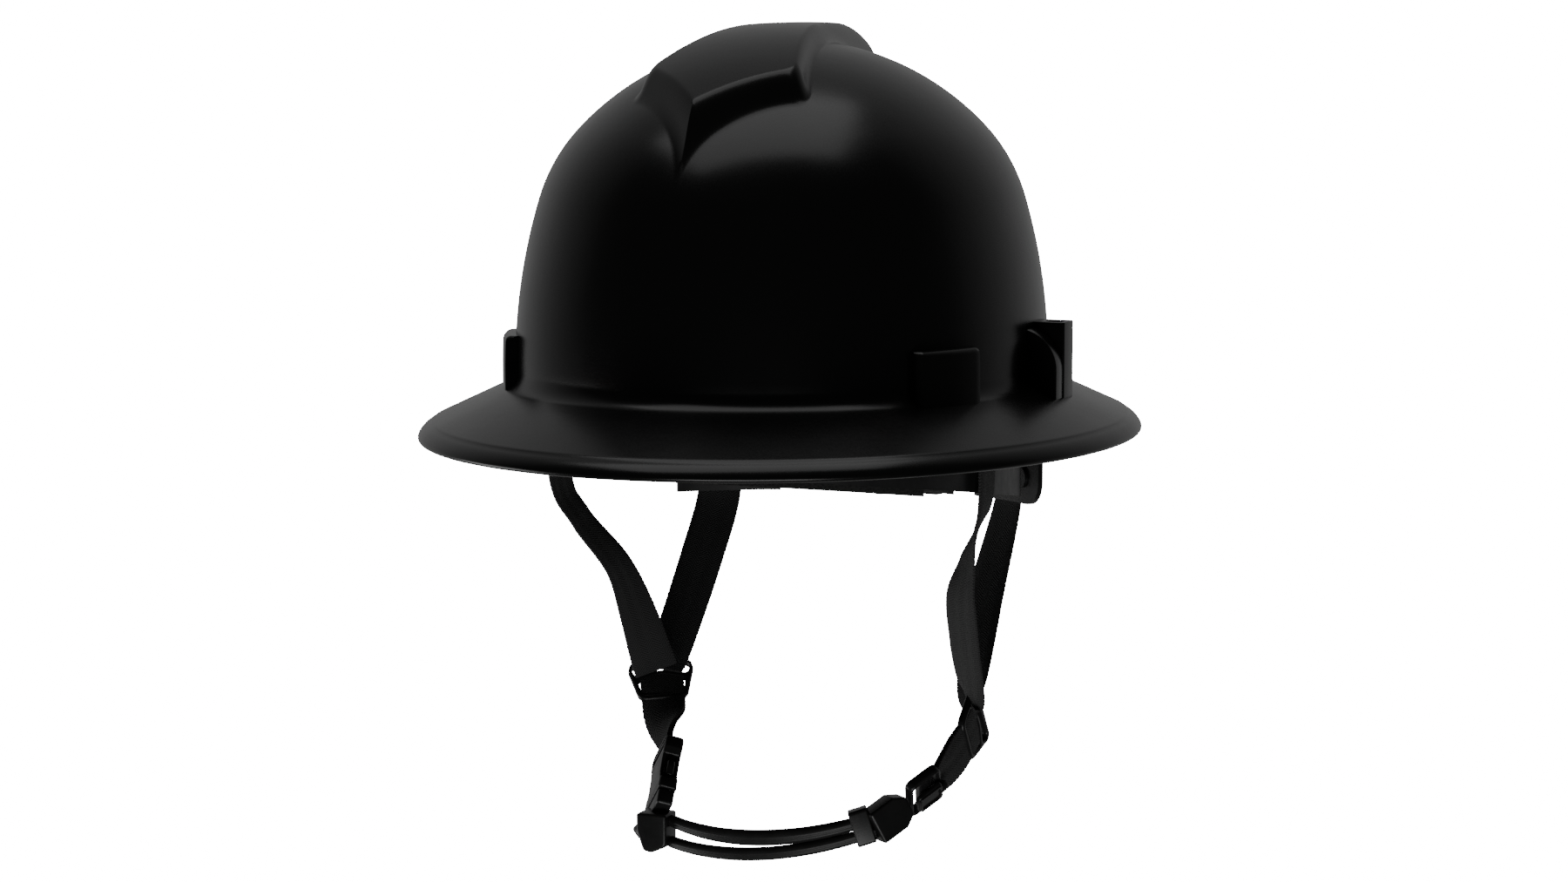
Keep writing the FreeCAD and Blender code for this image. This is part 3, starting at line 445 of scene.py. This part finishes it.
def shell_mesh():
    """The dome and brim as one closed skin, with the ridge raised out of it."""
    slope = math.degrees(math.atan(BRIM_DROP))
    run = 8.0 * math.tan(math.radians((90 - slope) / 2))
    outer = dome_section(0.0, (110, 36, 20))
    fillet = arc_run((CROWN_REACH + 8, BRIM_ROOT + run), 8, 270, 270 - (90 - slope), 10)
    brim = [(reach, brim_height(reach)) for reach in (115, 120, 125, 130, 134, 137, 138.8, 139.5)]
    lip = [(139.9, brim_height(139.9) - 0.15), (140.3, brim_height(140.3) - 0.42),
           (141.5, 6.55), (142.9, 5.5), (144.1, 4.15), (144.9, 2.9), (145.25, 1.9), (145.2, 1.1),
           (144.8, 0.45), (144.1, 0.08), (143.2, 0.0), (142.4, 0.25), (141.9, 0.9), (141.4, 3.2)]
    under = [(reach, brim_height(reach) - 3.3) for reach in (140.6, 136, 128, 120, 112, 107, 105)]
    inner = [(CROWN_REACH - WALL, brim_height(CROWN_REACH - WALL) - 2.2)]
    inner += dome_section(WALL, (60, 20, 10))[::-1]
    section = outer + fillet + brim + lip + under + inner
    turns = SHELL_TURNS
    raised_outer = len(outer)
    raised_inner = len(section) - len(inner)
    vertices = []
    rows = []
    for number, (reach, height) in enumerate(section):
        if reach < 1e-6:
            rows.append([len(vertices)])
            lift = 0.0 if number < raised_outer else WALL
            vertices.append((0, 0, smooth_most(height, ridge_height(0, 0, lift), 5) * MM))
            continue
        rows.append(list(range(len(vertices), len(vertices) + turns)))
        for turn in range(turns):
            angle = 2 * math.pi * turn / turns
            x = reach * math.cos(angle)
            y = reach * math.sin(angle) * RATIO
            z = height
            if height > RIDGE_FOOT and number < raised_outer:
                z = smooth_most(height, ridge_height(x, y), 4)
            elif height > RIDGE_FOOT and number >= raised_inner:
                z = smooth_most(height, ridge_height(x, y, WALL), 4)
            vertices.append((x * MM, y * MM, z * MM))
    faces = []
    for above, below in zip(rows, rows[1:]):
        for turn in range(turns):
            following = (turn + 1) % turns
            if len(above) == 1:
                faces.append((above[0], below[turn], below[following]))
            elif len(below) == 1:
                faces.append((above[turn], below[0], above[following]))
            else:
                faces.append((above[turn], below[turn], below[following], above[following]))
    return mesh_from("shell_skin", vertices, faces)


BLISTER_HALF = 15.5              # half its width along the wall
BLISTER_BEVEL = 2.2
BLISTER_PROUD = 5.2
BLISTER_BACK = -1.4              # its back lies inside the wall
BLISTER_FOOT = 21.0
BLISTER_SHOULDER = 40.5
BLISTER_ROUND = 2.6
WALL_RUN = CROWN_REACH * 1.06    # turns a run along the wall into an angle


def blister_mesh(turn):
    """A raised pad on the foot of the crown, crowned outward and rounded at its top."""
    rise = (BLISTER_SHOULDER - BLISTER_FOOT) / 12
    top = BLISTER_SHOULDER + BLISTER_ROUND
    rows = [(17.0, BLISTER_BACK), (17.0, BLISTER_PROUD)]
    rows += [(BLISTER_FOOT + rise * n, BLISTER_PROUD) for n in range(13)]
    rows += [(BLISTER_SHOULDER + BLISTER_ROUND * math.sin(math.radians(a)),
              BLISTER_ROUND + BLISTER_ROUND * math.cos(math.radians(a)))
             for a in (18, 36, 54, 72, 90)]
    rows += [(top, 0.5), (top, BLISTER_BACK)]
    spreads = [-BLISTER_HALF + 2 * BLISTER_HALF * n / 24 for n in range(25)]
    rings = []
    for height, proud in rows:
        lean = max(height - 29, 0) ** 2 / 484
        ring = []
        for spread in spreads:
            short = max(BLISTER_BEVEL - (BLISTER_HALF - abs(spread)), 0)
            drop = BLISTER_BEVEL - math.sqrt(max(BLISTER_BEVEL ** 2 - short ** 2, 0))
            out = proud - lean - (drop if proud > 0 else 0)
            ring.append(wall_point(turn, spread, out, height))
        ring += [wall_point(turn, spread, BLISTER_BACK - lean, height)
                 for spread in reversed(spreads)]
        rings.append(ring)
    return mesh_from("blister", *skin(rings))


def wall_point(turn, spread, out, height):
    """A place at a run along the dome's foot from a turn, and out from its wall."""
    angle = math.radians(turn) + spread / WALL_RUN
    outward = Vector((math.cos(angle), math.sin(angle) / RATIO)).normalized()
    return ((CROWN_REACH * math.cos(angle) + outward.x * out) * MM,
            (CROWN_REACH * RATIO * math.sin(angle) + outward.y * out) * MM, height * MM)


def slot_meshes(side):
    """The accessory slot: an open pocket with a quarter-round gusset before it."""
    outline = rounded_loop([(102, 7, 0), (119, 7, 0.9), (119, 19.5, 0.9), (102, 19.5, 0)])
    hole = rounded_loop([(109.4, 9, 0.8), (116.9, 9, 0.8), (116.9, 17.5, 0.8), (109.4, 17.5, 0.8)])
    pocket = plate("slot_pocket", [outline, hole], 32, 0.45, Matrix.Translation((0, 0, 32.3 * MM)))
    fin = rounded_loop([(100, 15, 0), (118.6, 15, 0.8), (118.6, 46.5, 17), (100, 46.5, 0)], 14)
    gusset = plate("slot_gusset", [fin], 9, 0.8,
                   Matrix.Translation((0, 2.6 * MM, 0)) @ Matrix.Rotation(math.pi / 2, 4, "X"))
    meshes = [pocket, gusset]
    if side < 0:
        for mesh in meshes:
            mesh.transform(Matrix.Scale(-1, 4, (1, 0, 0)))
    return meshes


BLISTER_TURN = 30.0              # from the wearer's left or right


def make_shell():
    turns = (-BLISTER_TURN, BLISTER_TURN, 180 - BLISTER_TURN, 180 + BLISTER_TURN)
    meshes = [shell_mesh()] + [blister_mesh(turn) for turn in turns]
    meshes += slot_meshes(1) + slot_meshes(-1)
    add_piece("shell_skin", joined("shell_skin", meshes), "helmet", "shell", ["shell"], 40)


make_shell()


# ---------------------------------------------------------------- webbing

WEB = 19.0
WEB_THICK = 1.3


def strap_mesh(name, stations, width=WEB, thick=WEB_THICK, steps=40, offset=0.0):
    """Webbing through stations (centre, direction of its width), with scalloped edges and
    a weave map in metres: u across the strap and v along it."""
    centres = curve_points([Vector(place) for place, _ in stations], steps)
    sides = curve_points([Vector(across).normalized() for _, across in stations], steps)
    rings = []
    lengths = []
    travelled = 0.0
    profile = [(-1, 0), (-0.985, -0.6), (-0.95, -1), (-0.5, -1), (0, -1), (0.5, -1), (0.95, -1),
               (0.985, -0.6), (1, 0), (0.985, 0.6), (0.95, 1), (0.5, 1), (0, 1), (-0.5, 1),
               (-0.95, 1), (-0.985, 0.6)]
    for number, centre in enumerate(centres):
        before = centres[max(number - 1, 0)]
        after = centres[min(number + 1, len(centres) - 1)]
        along = (after - before).normalized()
        across = sides[number]
        across = (across - along * across.dot(along)).normalized()
        through = along.cross(across)
        if number:
            travelled += (centre - before).length
        scallop = 1 + 0.011 * math.sin(2 * math.pi * travelled / 2.1)
        ring = [(centre + across * (a * width / 2 * scallop)
                 + through * (b * thick / 2 + offset)) * MM for a, b in profile]
        rings.append(ring)
        lengths.append(travelled)
    vertices, faces = skin(rings)
    mesh = mesh_from(name, vertices, faces)
    layer = mesh.uv_layers.new(name="weave")
    count = len(profile)
    for loop in mesh.loops:
        row, column = divmod(loop.vertex_index, count)
        layer.data[loop.index].uv = ((profile[column][0] * width / 2 + 20) * MM, lengths[row] * MM)
    return mesh, travelled


STRAPS = {
    "strap_front_left": [((95, -18, 20), (0, -1, 0)), ((94.6, -17.5, -21), (0.05, -0.99, 0)),
                         ((90, -15.5, -36), (0.3, -0.95, 0)),
                         ((85.5, -13, -50), (0.6, -0.8, 0)), ((81, -8, -66), (0.8, -0.6, 0)),
                         ((77, 8, -88), (0.78, -0.62, 0)), ((72.5, 29, -110), (0.7, -0.7, 0)),
                         ((71.6, 32.5, -116), (0.5, -0.85, 0))],
    "strap_rear_left": [((68, 100, -12), (0.75, -0.66, 0)), ((65, 97, -40), (0.81, -0.59, 0)),
                        ((63, 74, -78), (0.93, -0.36, 0)), ((66.6, 48, -109), (0.8, -0.6, 0)),
                        ((69, 41.5, -118.5), (0.6, -0.8, 0))],
    "strap_front_right": [((-95, -18, 20), (0, 1, 0)), ((-94.6, -17, -21), (0.05, 0.99, 0)),
                          ((-89, -9, -40), (0, 1, 0)), ((-80, 8, -62), (0.12, 0.99, 0)),
                          ((-76, 19, -83), (0.41, 0.91, 0)),
                          ((-73.5, 28.5, -104), (0.69, 0.72, 0)),
                          ((-72.9, 33, -111.5), (0.8, 0.6, 0))],
    "strap_rear_right": [((-72, 100, -12), (0.8, 0.6, 0)), ((-70, 97, -40), (0.85, 0.5, 0)),
                         ((-70, 76, -68), (0.9, 0.4, 0)), ((-71.5, 46, -104), (0.95, 0.1, 0)),
                         ((-72.6, 38.5, -112), (0.93, 0, 0))],
}


def make_straps():
    for name, stations in STRAPS.items():
        mesh, length = strap_mesh(f"{name}_webbing", stations)
        piece = add_piece(f"{name}_webbing", mesh, "helmet", "webbing", [name], 60)


make_straps()


# ---------------------------------------------------------------- pads

BAND_PLAN = [(79.3, 72.5), (88.5, 38), (92.5, 0), (84.2, -56.5), (50, -97), (0, -112)]
BAND_TILT = math.tan(math.radians(8.5))


def pad_mesh(name, path, height, thick, steps=28):
    """A strip swept along (place, inward direction) pairs: flat against the band and crowned
    toward the head, with a sewn line sunk near its top and bottom edges."""
    rings = []
    last = len(path) - 1
    for number, (place, inward) in enumerate(path):
        end = min(number, last - number) / 8
        swell = math.sqrt(1 - (1 - min(end, 1)) ** 2) if end < 1 else 1
        ring = []
        for step in range(steps + 1):
            share = -1 + 2 * step / steps
            crown = (1 - abs(share) ** 5) ** 0.6
            seam = 0.22 * math.exp(-((abs(share) - 0.8) / 0.05) ** 2)
            depth = thick * (max(crown - seam, 0.06) * (0.25 + 0.75 * swell)) - thick / 2
            ring.append((place + inward * depth + UP * share * height / 2) * MM)
        for step in range(steps, -1, -4):
            share = -1 + 2 * step / steps
            ring.append((place - inward * thick / 2 + UP * share * height / 2) * MM)
        rings.append(ring)
    return mesh_from(name, *skin(rings))


def make_pads():
    plan = BAND_PLAN + [(-x, y) for x, y in BAND_PLAN[-2::-1]]
    run = curve_points([Vector((x, y, 0)) for x, y in plan], 16)
    brow = []
    for before, here, after in zip(run, run[1:], run[2:]):
        if here.y > -56.5:
            continue
        along = (after - before).normalized()
        inward = Vector((along.y, -along.x, 0))
        if inward.dot(here) > 0:
            inward = -inward
        place = here + inward * 4.5
        place.z = -7 - BAND_TILT * here.y
        brow.append((place, inward))
    piece = add_piece("brow_cushion", pad_mesh("brow_cushion", brow, 36, 3.8), "helmet", "pad",
                      ["brow_pad"], 60)
    nape = []
    for step in range(61):
        angle = math.radians(-21 + 42 * step / 60)
        inward = Vector((-math.sin(angle), -math.cos(angle), 0))
        nape.append((Vector((0, -12, -22)) - inward * 113.2, inward))
    piece = add_piece("nape_cushion", pad_mesh("nape_cushion", nape, 30, 3.4), "helmet", "pad",
                      ["nape_pad"], 60)


make_pads()


# ---------------------------------------------------------------- lower webbing loops

SLIDERS = {
    "left": (Vector((70.7, 38, -125.7)), Vector((-0.05, -0.85, -0.52)),
             Vector((0.03, 0.52, -0.855))),
    "right": (Vector((-72.7, 38, -116)), Vector((0.38, -0.67, -0.64)),
              Vector((0.89, 0.45, 0.065))),
}
LOWER_ENDS = {
    "left": [((68.5, 23.5, -135.5), (0.1, 0.6, -0.8)), ((66.5, 15.5, -140.5), (0.0, 0.65, -0.76)),
             ((63.6, 5.6, -145.4), (-0.24, 0.7, -0.66))],
    "right": [((-66, 26, -128.5), (0.9, 0.2, 0.3)), ((-59.5, 14.8, -138.4), (0.4, -0.5, 0.75)),
              ((-57.5, 9.8, -143.2), (0.3, -0.5, 0.8))],
}


def make_loops():
    """Each lower strap runs down, round its fitting and back up: two layers of webbing."""
    for side, (centre, along, across) in SLIDERS.items():
        along = along.normalized()
        stations = [(centre - along, across), (centre + along * 8, across)] + LOWER_ENDS[side]
        name = f"strap_lower_{side}"
        for layer, offset in (("outer", 0.72), ("inner", -0.72)):
            mesh, length = strap_mesh(f"{name}_{layer}", stations, thick=1.25, offset=offset)
            piece = add_piece(f"{name}_{layer}", mesh, "chin_loop", "webbing", [name], 60)


# ---------------------------------------------------------------- chin strap fittings

def band(low, high, half, radius):
    """Corners of a rectangle symmetric about the middle."""
    return rounded_loop([(-half, low, radius), (half, low, radius),
                         (half, high, radius), (-half, high, radius)])


def make_sliders():
    """Rounded triangular sliders: a wide eye for the two upper straps and one for the loop."""
    outline = rounded_loop([(-15.6, -9.6, 4.4), (0, -7.4, 24), (15.6, -9.6, 4.4),
                            (10.4, 12.2, 4.6), (-10.4, 12.2, 4.6)], 9)
    upper = rounded_loop([(-13.4, -7.2, 1.9), (13.4, -7.2, 1.9), (11.4, -1.4, 1.8), (0, -4.2, 14),
                          (-11.4, -1.4, 1.8)], 9)
    lower = rounded_loop([(-10.4, 1.6, 1.4), (0, -1.6, 14), (10.4, 1.6, 1.4), (8.8, 9.4, 2),
                          (-8.8, 9.4, 2)], 9)
    for side, (centre, along, across) in SLIDERS.items():
        place = frame_of(centre, along, across.cross(along))
        mesh = plate("slider", [outline, upper, lower], 3.4, 1.2, facing(place))
        add_piece(f"slider_{side}", mesh, f"slider_{side}", "hardware", [f"y_slider_{side}"])


BUCKLE = frame_of((-58, 12, -141), (5, -22, -22.3), (-0.81, -0.54, 0.2))


def make_buckle():
    slot = band(1.8, 5.4, 10, 1.4)
    collar = rounded_loop([(-12.3, 0.2, 2.2), (12.3, 0.2, 2.2), (12.3, 6.4, 1.6), (10.8, 9.6, 1.2),
                           (-10.8, 9.6, 1.2), (-12.3, 6.4, 1.6)])
    cheek = rounded_loop([(-10.8, 8.4, 0.8), (10.8, 8.4, 0.8), (9.6, 12.5, 3), (9.6, 18.5, 3),
                          (11.4, 22.6, 0.8), (-11.4, 22.6, 0.8), (-9.6, 18.5, 3), (-9.6, 12.5, 3)])
    meshes = [plate("collar", [collar, slot], 8, 1.3, facing(BUCKLE))]
    meshes += [plate("cheek", [cheek], 1.6, 0.5, facing(BUCKLE, depth)) for depth in (-3.1, 3.1)]
    mouth = rounded_loop([(-4, -12.5, 1.4), (4, -12.5, 1.4), (4, 12.5, 1.4), (-4, 12.5, 1.4)])
    bore = rounded_loop([(-2.3, -10.5, 0.6), (2.3, -10.5, 0.6), (2.3, 10.5, 0.6),
                         (-2.3, 10.5, 0.6)])
    meshes.append(plate("mouth", [mouth, bore], 5.4, 0.7,
                        BUCKLE @ Matrix.Translation((0, 0, 24.3 * MM))))
    add_piece("buckle_socket_shape", joined("buckle_socket_shape", meshes), "chin_loop",
              "hardware", ["buckle_socket"])
    for name, side in (("front", 1), ("rear", -1)):
        corners = [(6.2, 27.1, 0.5), (8.2, 27.1, 0.5), (8.3, 20.4, 0.6), (11.3, 20.2, 1.6),
                   (12.5, 16, 3), (12.5, 12.7, 1.8), (6.2, 12.7, 0.8)]
        corners = [(side * across, along, radius) for across, along, radius in corners][::side]
        mesh = plate("prong", [rounded_loop(corners)], 3.2, 0.9, facing(BUCKLE))
        add_piece(f"prong_{name}_shape", mesh, f"prong_{name}", "hardware", [f"prong_{name}"])


def make_plug():
    """The plug with its tongue, and the block below it that holds the rails' ends."""
    base = plate("base", [band(27.4, 34.6, 11.6, 1.5)], 7, 1.0, facing(BUCKLE))
    tongue = plate("tongue", [band(13, 28, 2, 0.8)], 3.6, 0.6, facing(BUCKLE))
    upright = Matrix.Translation((0, -14 * MM, 0)) @ Matrix.Rotation(math.pi / 2, 4, "X")
    outline = rounded_loop([(-59.2, -162.6, 1.2), (-45.6, -162.6, 1.2), (-45.6, -176.4, 3),
                            (-52.5, -179.4, 3), (-56.2, -178.6, 2), (-59.2, -170, 3)])
    block = plate("block", [outline], 12, 1.1, upright)
    knob = lathe([(0, 3.4), (1.0, 3.1), (3.6, 0.4), (4.2, -0.8), (4.2, -3)],
                 frame_of((-59.6, -14, -171), (-1, 0, 0), UP))
    add_piece("plug_shape", joined("plug_shape", [base, tongue, block, knob]), "plug", "hardware",
              ["buckle_plug"])


def lathe(section, place, turns=40):
    """A turned shape from (radius, height) pairs, along Z of the frame it is put in."""
    rings = [[place @ Vector((radius * math.cos(2 * math.pi * n / turns) * MM,
                              radius * math.sin(2 * math.pi * n / turns) * MM, height * MM))
              for n in range(turns)] for radius, height in section]
    return mesh_from("lathe", *skin(rings))


def arc_points(start, middle, end, steps):
    """Points of the arc through three places."""
    a, b, c = Vector(start), Vector(middle), Vector(end)
    normal = (b - a).cross(c - a)
    centre = a + ((c - a).length_squared * normal.cross(b - a)
                  + (b - a).length_squared * (c - a).cross(normal)) / (2 * normal.length_squared)
    whole = (a - centre).angle(b - centre) + (b - centre).angle(c - centre)
    axis = normal.normalized()
    return [centre + Matrix.Rotation(whole * n / steps, 3, axis) @ (a - centre)
            for n in range(steps + 1)]


RAILS = {
    "upper": ((-45.4, -14, -165.9), (-2, -24.5, -167.4), (46, -14, -156.9)),
    "lower": ((-45.4, -14, -175), (-2, -24.5, -174.2), (46, -14, -162.6)),
}
RAIL_SWELL = {"upper": 0.34, "lower": 0.14}      # how much taller each is at its middle
RAIL_RADIUS = 2.5
RAIL_STEPS = 90


def make_rails():
    """Rubber rails with a lengthwise groove along the front."""
    for name, ends in RAILS.items():
        points = arc_points(*ends, RAIL_STEPS)
        rings = []
        for number, point in enumerate(points):
            along = points[min(number + 1, RAIL_STEPS)] - points[max(number - 1, 0)]
            along.normalize()
            outward = (Vector((0, -1, 0)) + along * along.y).normalized()
            swell = 1 + RAIL_SWELL[name] * math.sin(math.pi * number / RAIL_STEPS)
            rise = along.cross(outward) * swell
            ring = []
            for step in range(40):
                angle = 2 * math.pi * step / 40
                groove = 0.42 * math.exp(-(math.sin(angle - 0.25) / 0.16) ** 2)
                groove *= math.cos(angle) > 0
                radius = RAIL_RADIUS - groove
                ring.append((point + outward * radius * math.cos(angle)
                             + rise * radius * math.sin(angle)) * MM)
            rings.append(ring)
        mesh = mesh_from(f"rail_{name}", *skin(rings))
        finish_mesh(mesh, 50)
        piece = bpy.data.objects.new(f"rail_{name}", mesh)
        bpy.context.scene.collection.objects.link(piece)
        mesh.materials.append(LOOKS["rail"])
        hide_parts(f"chin_rail_{name}")
        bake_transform(piece)


CHAIN = (0.569, 0.659, 0.494)    # direction from the bracket up to the ladder lock


def make_fittings():
    """The keeper on the rails, the bracket at their end and the ladder lock with its lever."""
    keeper = frame_of((41.2, -16.2, -160.6), (13, 5.5, 4.5), (0.3, -0.95, 0))
    sleeve = rounded_loop([(-4.5, -7.6, 1.6), (4.5, -7.6, 1.6), (4.5, 7.6, 1.6), (-4.5, 7.6, 1.6)])
    hole = rounded_loop([(-3.2, -6.4, 1.2), (3.2, -6.4, 1.2), (3.2, 6.4, 1.2), (-3.2, 6.4, 1.2)])
    add_piece("keeper_shape", plate("keeper", [sleeve, hole], 8, 0.6, keeper), "chin_loop",
              "hardware", ["rail_keeper"])
    bracket = frame_of((47.4, -13.5, -159.7), CHAIN, (0.75, -0.65, 0))
    shape = rounded_loop([(-7.5, -3, 1.2), (7.5, -3, 1.2), (7.5, 9.5, 1), (4.2, 14.7, 1),
                          (-4.2, 14.7, 1), (-7.5, 9.5, 1)])
    add_piece("bracket_shape", plate("bracket", [shape], 9, 1.1, facing(bracket)), "chin_loop",
              "hardware", ["rail_bracket"])
    lock = frame_of((56.2, -3.2, -151.9), CHAIN, (0.785, -0.264, -0.556))
    outline = rounded_loop([(-12, 0.2, 3.2), (12, 0.2, 3.2), (12, 16.8, 3.6), (-12, 16.8, 3.6)])
    frame_plate = plate("lock", [outline, band(2.2, 5.6, 9.9, 1.3), band(11, 14.4, 9.9, 1.3)],
                        4.6, 1.2, facing(lock))
    add_piece("lock_shape", frame_plate, "chin_loop", "hardware", ["strap_lock"])
    lever = plate("lever", [band(2.2, 15, 5.4, 2)], 2.2, 0.7, facing(lock, 4.0))
    rim = plate("rim", [band(2.6, 14.6, 5.0, 1.8), band(3.9, 13.3, 3.7, 1.2)], 0.9, 0.3,
                facing(lock, 5.3))
    thumb = lathe([(0, 18.6), (1.3, 18.3), (2.1, 17.4), (2.4, 16), (2.4, 13.2), (0.6, 12.8)],
                  lock @ Matrix.Translation((3.6 * MM, 0, 0)))
    add_piece("lever_shape", joined("lever_shape", [lever, rim, thumb]), "chin_loop", "hardware",
              ["lock_lever"])


make_loops()
make_sliders()
make_buckle()
make_plug()
make_rails()
make_fittings()


# ---------------------------------------------------------------- carried-over CAD nodes

def dress_nodes():
    """Every CAD node takes its slot's material."""
    slots = {entry["node"]: entry["material_slot"] for entry in frame["record"]["subparts"]}
    for name, node in frame["nodes"].items():
        node.data.materials.clear()
        node.data.materials.append(LOOKS[slots[name]])


dress_nodes()


# ---------------------------------------------------------------- studio

BACKDROP = 20                    # bright enough to come out as plain white


def studio(turn=22.0):
    """A dark room with a dim wall behind the object, which the camera sees as plain white."""
    world = bpy.data.worlds.new("studio")
    bpy.context.scene.world = world
    world.use_nodes = True
    tree = world.node_tree
    back = tree.nodes["Background"]
    place = tree.nodes.new("ShaderNodeTexCoord")
    toward = tree.nodes.new("ShaderNodeVectorMath")
    toward.operation = "DOT_PRODUCT"
    turn = math.radians(turn)
    toward.inputs[1].default_value = (-math.sin(turn), math.cos(turn), 0)
    ramp = tree.nodes.new("ShaderNodeValToRGB")
    ramp.color_ramp.elements[0].color = (0.025, 0.025, 0.025, 1)
    ramp.color_ramp.elements[0].position = 0.0
    ramp.color_ramp.elements[1].color = (0.28, 0.28, 0.28, 1)
    ramp.color_ramp.elements[1].position = 0.75
    tree.links.new(place.outputs["Generated"], toward.inputs[0])
    tree.links.new(toward.outputs["Value"], ramp.inputs["Fac"])
    path = tree.nodes.new("ShaderNodeLightPath")
    mix = tree.nodes.new("ShaderNodeMix")
    mix.data_type = "RGBA"
    tree.links.new(path.outputs["Is Camera Ray"], mix.inputs["Factor"])
    tree.links.new(ramp.outputs["Color"], mix.inputs[6])
    mix.inputs[7].default_value = (*grey(BACKDROP), 1)
    tree.links.new(mix.outputs[2], back.inputs["Color"])


def softbox(name, place, target, size, power, roll=0.0):
    light = bpy.data.lights.new(name, "AREA")
    light.shape = "RECTANGLE"
    light.size, light.size_y = size
    light.energy = power
    lamp = bpy.data.objects.new(name, light)
    lamp.location = place
    turn = (Vector(target) - Vector(place)).to_track_quat("-Z", "Y").to_matrix()
    lamp.rotation_euler = (turn @ Matrix.Rotation(math.radians(roll), 3, "Z")).to_euler()
    bpy.context.scene.collection.objects.link(lamp)


def camera(azimuth=22.0, elevation=7.0, distance=1.6, lens=88.6):
    turn, rise = math.radians(azimuth), math.radians(elevation)
    aim = Vector((0, 0, -0.0045))
    away = Vector((math.sin(turn) * math.cos(rise), -math.cos(turn) * math.cos(rise),
                   math.sin(rise)))
    data = bpy.data.cameras.new("camera")
    data.lens = lens
    data.sensor_width = 36.0
    eye = bpy.data.objects.new("camera", data)
    eye.location = aim + away * distance
    eye.rotation_euler = (-away).to_track_quat("-Z", "Y").to_euler()
    bpy.context.scene.collection.objects.link(eye)
    bpy.context.scene.camera = eye


studio()
softbox("overhead", (-0.05, -0.03, 1.4), (-0.05, -0.03, 0), (1.5, 1.0), 4.6, roll=33.5)
softbox("low", (0.5, -1.2, -0.9), (0, 0, -0.1), (1.2, 0.8), 8)
softbox("low_side", (-1.4, -0.3, -0.7), (0, 0, -0.1), (1.0, 0.8), 5)
camera()
